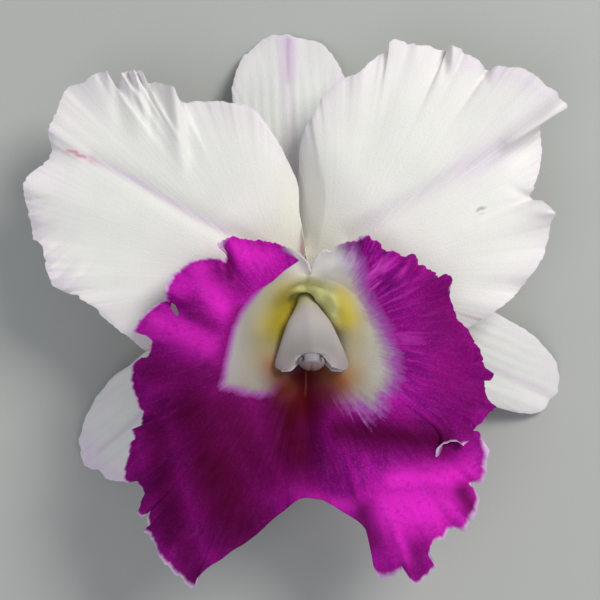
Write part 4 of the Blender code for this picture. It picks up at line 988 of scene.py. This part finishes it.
lip_x, lip_y, lip_z, lip_p, lip_angle, to_margin = lip_blade(LIP_ROWS, LIP_COLUMNS)
lip_x, lip_y, in_hole, slot_rim = open_keyhole(lip_x, lip_y, to_margin)
lip_grid = as_seen(lip_x, lip_y, lip_z)
lip_thickness = blade_thickness(lip_p, LIP_CLAW, claw_end=0.3, edge_from=0.985, worn=0.5)
lip_half = surface_normals(lip_grid) * lip_thickness[..., None] / 2
from_mouth = np.hypot(lip_x - RIM_CENTRE[0], lip_y - RIM_CENTRE[1])
# The throat's edge is crisp at the upper left and below the column's tip, and feathered most
# on the right and low down
right_side = smooth(lip_x, 2, 12)
low_down = smooth(-lip_y, 17, 22)
crisp = spot(lip_x, lip_y, [(300, 259), (284, 270), (268, 284)], 3.0)
below_tip = spot(lip_x, lip_y, [(284, 380), (306, 370), (325, 374), (338, 384)], 3.0)


def patches(listed):
    """The strongest of several soft patches of the lip."""
    return np.max([strength * spot(lip_x, lip_y, places, width)
                   for strength, places, width in listed], axis=0)


lip_fields = {
    "ray": np.stack([(lip_angle + 6) * 18, from_mouth, 0 * lip_x], axis=-1),
    "throat": inside_by(lip_x, lip_y, THROAT_OUTLINE),
    "feather": (0.4 + 3.4 * right_side + (1.4 + 2.4 * right_side) * low_down)
        * (1 - 0.97 * crisp) * (1 - 0.9 * below_tip),
    "blur": (1.1 + 1.8 * right_side + 0.5 * low_down) * (1 - 0.9 * crisp),
    "fringe": to_margin * (1 - patches(FRINGE_WIDE)) + 2.2 * patches(FRINGE_GONE)
        + 1.6 * patches(FRINGE_FAINT) - 0.9 * slot_rim - 1.2 * patches(FRINGE_ON_LEDGE),
}
for name, listed in LIP_PATCHES.items():
    lip_fields[name] = patches(listed)
add_blade("frilled_lip", lip_grid, lip_half, lip_tissue(), "lip", "lip", lip_fields, LIP_FINE_FROM,
          in_hole)

# The column: stamen and pistil grown together into one firm, waxy hood. It rises from the
# peg, arches forward and broadens to two wings beside the notch that holds the anther.
COLUMN_FOOT = PEG_TOP + GAP
COLUMN_LINE = [
    (1.6, 0.3, COLUMN_FOOT), (1.65, 0, -3.2), (1.8, -1.8, 1.5), (2.3, -6.2, 8), (2.7, -11.8, 13.2),
    (2.9, -16.4, 17),
]
# Sizes at shares of the way up: half its width, and its depth in front of and behind its line
COLUMN_HALF_WIDTH = [(0, 2.2), (0.2, 2.4), (0.36, 3.5), (0.5, 5.2), (0.65, 6.6), (0.8, 8.1),
                     (0.9, 9.0), (0.96, 8.8), (1, 7.4)]
COLUMN_TOP = [(0, 1.5), (0.3, 2.2), (0.6, 3.2), (0.85, 2.6), (1, 1.3)]
COLUMN_UNDER = [(0, 2.2), (0.3, 2.3), (0.6, 2.2), (0.85, 1.8), (1, 0.8)]
COLUMN_ARCH = 0.022
NOTCH_START, NOTCH_HALF, NOTCH_SLOPE, NOTCH_STEP = 0.89, 4.0, 1.7, 0.1
NOTCH_FLOOR = NOTCH_START + NOTCH_STEP * (1 - NOTCH_START)
NOTCH_FLOOR_DEPTH = 0.86   # the floor's share of the column's depth
NOTCH_WALL = (0.1, 0.3, 0.55, 0.8, 1.0)    # shares of the way in from the tip to the floor
WING_TOOTH = 0.02          # share of the column's length
KEEL_HEIGHT, KEEL_WIDTH = 0.25, 1.6
COLUMN_MIDDLE = 2.6        # x of its middle at the wings
COLUMN_STEPS, COLUMN_SIDES = 400, 120
column_stops = np.linspace(0, 1, COLUMN_STEPS + 1)
column_line = trace(COLUMN_LINE, COLUMN_STEPS, measured=3)
column_heading = np.gradient(evened(column_line, 12), axis=0)
column_heading /= np.linalg.norm(column_heading, axis=1, keepdims=True)
column_front = np.cross(column_heading, (1, 0, 0))
column_front /= np.linalg.norm(column_front, axis=1, keepdims=True)


def along_column(table, share):
    """The table's row at a share of the way up the column."""
    return np.stack([np.interp(share, column_stops, column) for column in table.T], axis=-1)


def eased(pairs, share):
    """A value between listed stations, without a corner at any of them."""
    table = evened(np.interp(column_stops, *zip(*pairs)), 14)
    return np.interp(share, column_stops, table)


def column_ring(share):
    """One ring of the column, with its middle held back where the notch is."""
    turn = even_turns(COLUMN_SIDES)
    before = eased(COLUMN_HALF_WIDTH, min(share, NOTCH_START))
    past = eased(COLUMN_HALF_WIDTH, share) - before
    aside = before * np.cos(turn)
    wing = smooth(np.abs(aside), NOTCH_HALF, NOTCH_HALF + NOTCH_SLOPE)
    free = NOTCH_STEP + (1 - NOTCH_STEP) * wing
    aside = aside + past * free * np.cos(turn)
    at = min(share, NOTCH_START) + max(share - NOTCH_START, 0) * free
    # The wings' ends are bitten into small uneven teeth, half a millimetre deep
    at = at + WING_TOOTH * wing * ripple(aside + 20, 1.1, 71) * smooth(share, 0.93, 1)
    thick = np.where(np.sin(turn) > 0, eased(COLUMN_TOP, at), eased(COLUMN_UNDER, at))
    keel = KEEL_HEIGHT * np.exp(-(aside / KEEL_WIDTH) ** 2) * np.maximum(np.sin(turn), 0)
    droop = -COLUMN_ARCH * aside**2 * smooth(share, 0.5, 0.9)
    depth = (thick * np.sin(turn) + keel + droop)[:, None]
    return along_column(column_line, at) + aside[:, None] * np.array([1.0, 0, 0]) \
        + along_column(column_front, at) * depth


def wax_tissue(name, body_hex, shade_hex, tints):
    """Firm waxy flesh: smooth, softly glossy, and light sinks deep into it."""
    skin = new_material(name)
    place = add_node(skin, "TexCoord").outputs["Object"]
    cloud = add_node(skin, "TexNoise", {"Vector": place, "Scale": 1 / (3 * MM), "Detail": 3})
    cells = add_node(skin, "TexNoise", {"Vector": place, "Scale": 1 / (0.4 * MM), "Detail": 2})
    body = add_node(skin, "MixRGB", {"Fac": cloud, "Color1": colour(body_hex),
                                     "Color2": colour(shade_hex)})
    for field, tint in tints:
        amount = add_node(skin, "Attribute", attribute_name=field).outputs["Fac"]
        body = add_node(skin, "MixRGB", {"Fac": amount, "Color1": body, "Color2": colour(tint)})
    bump = add_node(skin, "Bump", {"Height": cells, "Distance": 0.02 * MM, "Strength": 0.7})
    shader = add_node(skin, "BsdfPrincipled", {
        "Base Color": body, "Roughness": 0.42, "IOR": 1.4, "Normal": bump,
        "Subsurface Weight": 0.5, "Subsurface Radius": (1.0, 0.8, 0.85),
        "Subsurface Scale": 1.4 * MM})
    add_node(skin, "OutputMaterial", {"Surface": shader})
    return skin


column_shares = np.concatenate([np.linspace(0, 0.88, 90), np.linspace(0.885, 1, 40)])
column_rings = [column_ring(share) for share in column_shares]
column_turns = even_turns(COLUMN_SIDES)
notch_depth = NOTCH_FLOOR_DEPTH * np.where(
    np.sin(column_turns) > 0, eased(COLUMN_TOP, NOTCH_START), eased(COLUMN_UNDER, NOTCH_START))
notch_floor = along_column(column_line, NOTCH_FLOOR) + np.column_stack([
    NOTCH_HALF * np.cos(column_turns), 0 * column_turns, 0 * column_turns])
notch_floor = notch_floor + along_column(column_front, NOTCH_FLOOR) \
    * (notch_depth * np.sin(column_turns))[:, None]
tip_ring = column_rings[-1]
for share in NOTCH_WALL:
    column_rings.append(tip_ring + (notch_floor - tip_ring) * share)
column_points, column_faces = loft(column_rings)
aside = np.abs(column_points[:, 0] - COLUMN_MIDDLE)
station = np.repeat(np.concatenate([column_shares, np.ones(len(NOTCH_WALL))]), COLUMN_SIDES)
station = np.concatenate([station, [0, 1]])
in_notch = np.repeat(np.arange(len(column_rings)) > len(column_shares), COLUMN_SIDES)
underside = np.concatenate([np.tile(np.sin(column_turns) < -0.1, len(column_rings)), [0, 0]])
# Painted shade: the column's upper side darkens towards its tip and over its wings, where it lies in shade;
# its body colours are set greyer than the white tissue too
painted_tip_shade = 0.8 * smooth(station, 0.5, 0.95) * (1 - 0.6 * smooth(aside, 4.0, 8.0))
wing = 0.75 * smooth(station, 0.7, 1.0) * smooth(aside, 3.0, 8.0)
add_piece("waxy_column", column_points, column_faces,
          wax_tissue("column_wax", "#c5c1bc", "#bdb8bb", [
              ("foot", "#c9c68c"), ("painted_tip_shade", "#89837e"), ("wing", "#988a8c"), ("inside", "#b3a3ab")]),
          "column", "column",
          {"foot": 0.85 * (1 - smooth(station, 0.1, 0.5)),
           "painted_tip_shade": painted_tip_shade * (1 - underside), "wing": wing * (1 - underside),
           "inside": 0.5 * np.concatenate([in_notch, [0, 1]])})

# The anther cap: a small waxy helmet over the pollen, hinged in the column's notch. It has a
# pale boss where it is hinged and two rounded lobes below, and is hollow underneath.
ANTHER_HALF = (3.35, 2.2)
ANTHER_HEIGHT, ANTHER_WALL, ANTHER_SIDES = 3.0, 0.8, 96
BOSS_HALF, BOSS_HEIGHT = 1.7, 0.42
SLOT_PLACE, SLOT_HALF, SLOT_DEPTH = 2.35, 0.42, 0.5    # one to each side of the boss
PARTING_PLACE, PARTING_HALF, PARTING_DEPTH = -0.3, 0.4, 0.28
cap_heading = along_column(column_heading, NOTCH_FLOOR)
cap_front = along_column(column_front, NOTCH_FLOOR)
cap_base = along_column(column_line, NOTCH_FLOOR) + cap_heading * GAP
cap_turns = even_turns(ANTHER_SIDES)
cap_rings, cap_fields = [], []
# Its outside from the top down, then its hollow from the rim up, in degrees from the rim
outside = [(degrees, 0) for degrees in range(87, -1, -3)]
hollow = [(degrees, ANTHER_WALL) for degrees in range(0, 84, 7)]
for degrees, wall in outside + hollow:
    shrink, rise = math.cos(math.radians(degrees)), math.sin(math.radians(degrees))
    way = np.stack([shrink * np.cos(cap_turns), shrink * np.sin(cap_turns), rise + 0 * cap_turns],
                   axis=-1)
    place = way * np.array([ANTHER_HALF[0] - wall, ANTHER_HALF[1] - wall, ANTHER_HEIGHT - wall])
    across, up = place[:, 0], way[:, 2]
    facing = smooth(way[:, 1], -0.1, 0.35)
    boss = facing * np.exp(-(across / BOSS_HALF) ** 4) * (1 - smooth(up, 0.5, 0.72))
    slots = facing * np.exp(-((np.abs(across) - SLOT_PLACE) / SLOT_HALF) ** 2)
    slots = slots * (1 - smooth(up, 0.3, 0.6))
    parting = np.exp(-((across - PARTING_PLACE) / PARTING_HALF) ** 2) * smooth(up, 0.6, 0.85)
    if not wall:
        relief = BOSS_HEIGHT * boss - SLOT_DEPTH * slots - PARTING_DEPTH * parting
        place = place + way * relief[:, None]
    cap_rings.append(cap_base + place[:, :1] * np.array([1.0, 0, 0]) + place[:, 1:2] * cap_front
                     + place[:, 2:] * cap_heading)
    # Painted shade: the cap's lower part and its two slots are tinted dark where they lie in shade; its
    # body colours are set darker than its pale wax too
    lower = (1 - boss) * smooth(up + 0.4 * slots, 0.25, 0.8)
    cap_fields.append(np.stack([lower, slots * (wall == 0), smooth(up, 0.8, 1) + (wall > 0)], axis=-1))
cap_fields = np.vstack([np.concatenate(cap_fields), [[1, 0, 1]] * 2])
add_piece("cap_over_pollen", *loft(cap_rings),
          wax_tissue("anther_wax", "#9d9aa1", "#918e94", [
              ("lower", "#79645f"), ("slot", "#453a3f"), ("shaded", "#6e4c44")]),
          "anther_cap", "anther_cap",
          {"lower": 0.9 * cap_fields[:, 0], "slot": 0.8 * cap_fields[:, 1],
           "shaded": 0.5 * cap_fields[:, 2]})

# The pollen: four waxy yellow masses on one strap, pressed together in the cap's hollow.
# Their shape is right as it stands; only their finish is added.
pollen_wax = new_material("pollen_wax")
pollen_place = add_node(pollen_wax, "TexCoord").outputs["Object"]
pollen_grain = add_node(pollen_wax, "TexNoise", {"Vector": pollen_place, "Scale": 1 / (0.15 * MM)})
pollen_body = add_node(pollen_wax, "MixRGB", {"Fac": pollen_grain, "Color1": colour("#e0b23a"),
                                              "Color2": colour("#efcf6a")})
pollen_bump = add_node(pollen_wax, "Bump", {"Height": pollen_grain, "Distance": 0.02 * MM})
pollen_shader = add_node(pollen_wax, "BsdfPrincipled", {
    "Base Color": pollen_body, "Roughness": 0.5, "IOR": 1.44, "Normal": pollen_bump})
add_node(pollen_wax, "OutputMaterial", {"Surface": pollen_shader})
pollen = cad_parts["pollinia"]
pollen.data.materials.clear()
pollen.data.materials.append(pollen_wax)

# A plain pale floor under the bloom, and a studio's light: one large lamp from the upper
# right, as high as it stands to the side, with weak fill from the left, front and all round.
FLOOR_HALF = 3.0           # metres
floor_paper = new_material("matt_floor_paper")
paper_place = add_node(floor_paper, "TexCoord").outputs["Object"]
paper_grain = add_node(floor_paper, "TexNoise", {"Vector": paper_place, "Scale": 1 / (0.8 * MM)})
paper_bump = add_node(floor_paper, "Bump", {"Height": paper_grain, "Distance": 0.03 * MM})
paper_shader = add_node(floor_paper, "BsdfPrincipled", {
    "Base Color": colour("#b9bbb8"), "Roughness": 0.9, "Normal": paper_bump})
add_node(floor_paper, "OutputMaterial", {"Surface": paper_shader})
floor_mesh = bpy.data.meshes.new("floor")
floor_mesh.from_pydata([(-FLOOR_HALF, -FLOOR_HALF, 0), (FLOOR_HALF, -FLOOR_HALF, 0),
                        (FLOOR_HALF, FLOOR_HALF, 0), (-FLOOR_HALF, FLOOR_HALF, 0)], [], [(0, 1, 2, 3)])
floor_mesh.materials.append(floor_paper)
floor = bpy.data.objects.new("floor", floor_mesh)
bpy.context.scene.collection.objects.link(floor)


def add_lamp(name, direction, distance, size, watts, tint):
    """A square soft lamp that faces the bloom; its distance and size are in metres."""
    lamp = bpy.data.lights.new(name, "AREA")
    lamp.size = size
    lamp.energy = watts
    lamp.color = tint
    holder = bpy.data.objects.new(name, lamp)
    towards = np.array(direction) / np.linalg.norm(direction)
    holder.location = towards * distance
    holder.rotation_euler = holder.location.to_track_quat("Z", "Y").to_euler()
    bpy.context.scene.collection.objects.link(holder)


add_lamp("key_lamp", (0.55, 0.5, 0.8), 0.9, 0.36, 5.0, (1, 0.975, 0.93))
add_lamp("fill_lamp", (-0.3, -0.3, 1.0), 1.0, 0.6, 1.6, (0.95, 0.97, 1))
add_lamp("front_lamp", (0.1, -1.0, 0.35), 1.0, 0.6, 1.1, (0.98, 0.98, 1))
sky = bpy.data.worlds.new("studio")
sky.use_nodes = True
sky.node_tree.nodes["Background"].inputs["Color"].default_value = (0.9, 0.94, 1, 1)
sky.node_tree.nodes["Background"].inputs["Strength"].default_value = 0.32
bpy.context.scene.world = sky
bpy.context.scene.view_settings.view_transform = "Standard"

# The camera looks straight down on the face, and takes in just the squared paper's width
camera = bpy.data.cameras.new("camera")
camera.lens = camera.sensor_width * SEEN_FROM / (2 * DRAWN_MIDDLE / DRAWN_PER_MM)
camera.clip_start = 0.01
viewer = bpy.data.objects.new("camera", camera)
viewer.location = (-SPREAD_CENTRE[0] * MM, -SPREAD_CENTRE[1] * MM, (REST_DEPTH + SEEN_FROM) * MM)
bpy.context.scene.collection.objects.link(viewer)
bpy.context.scene.camera = viewer
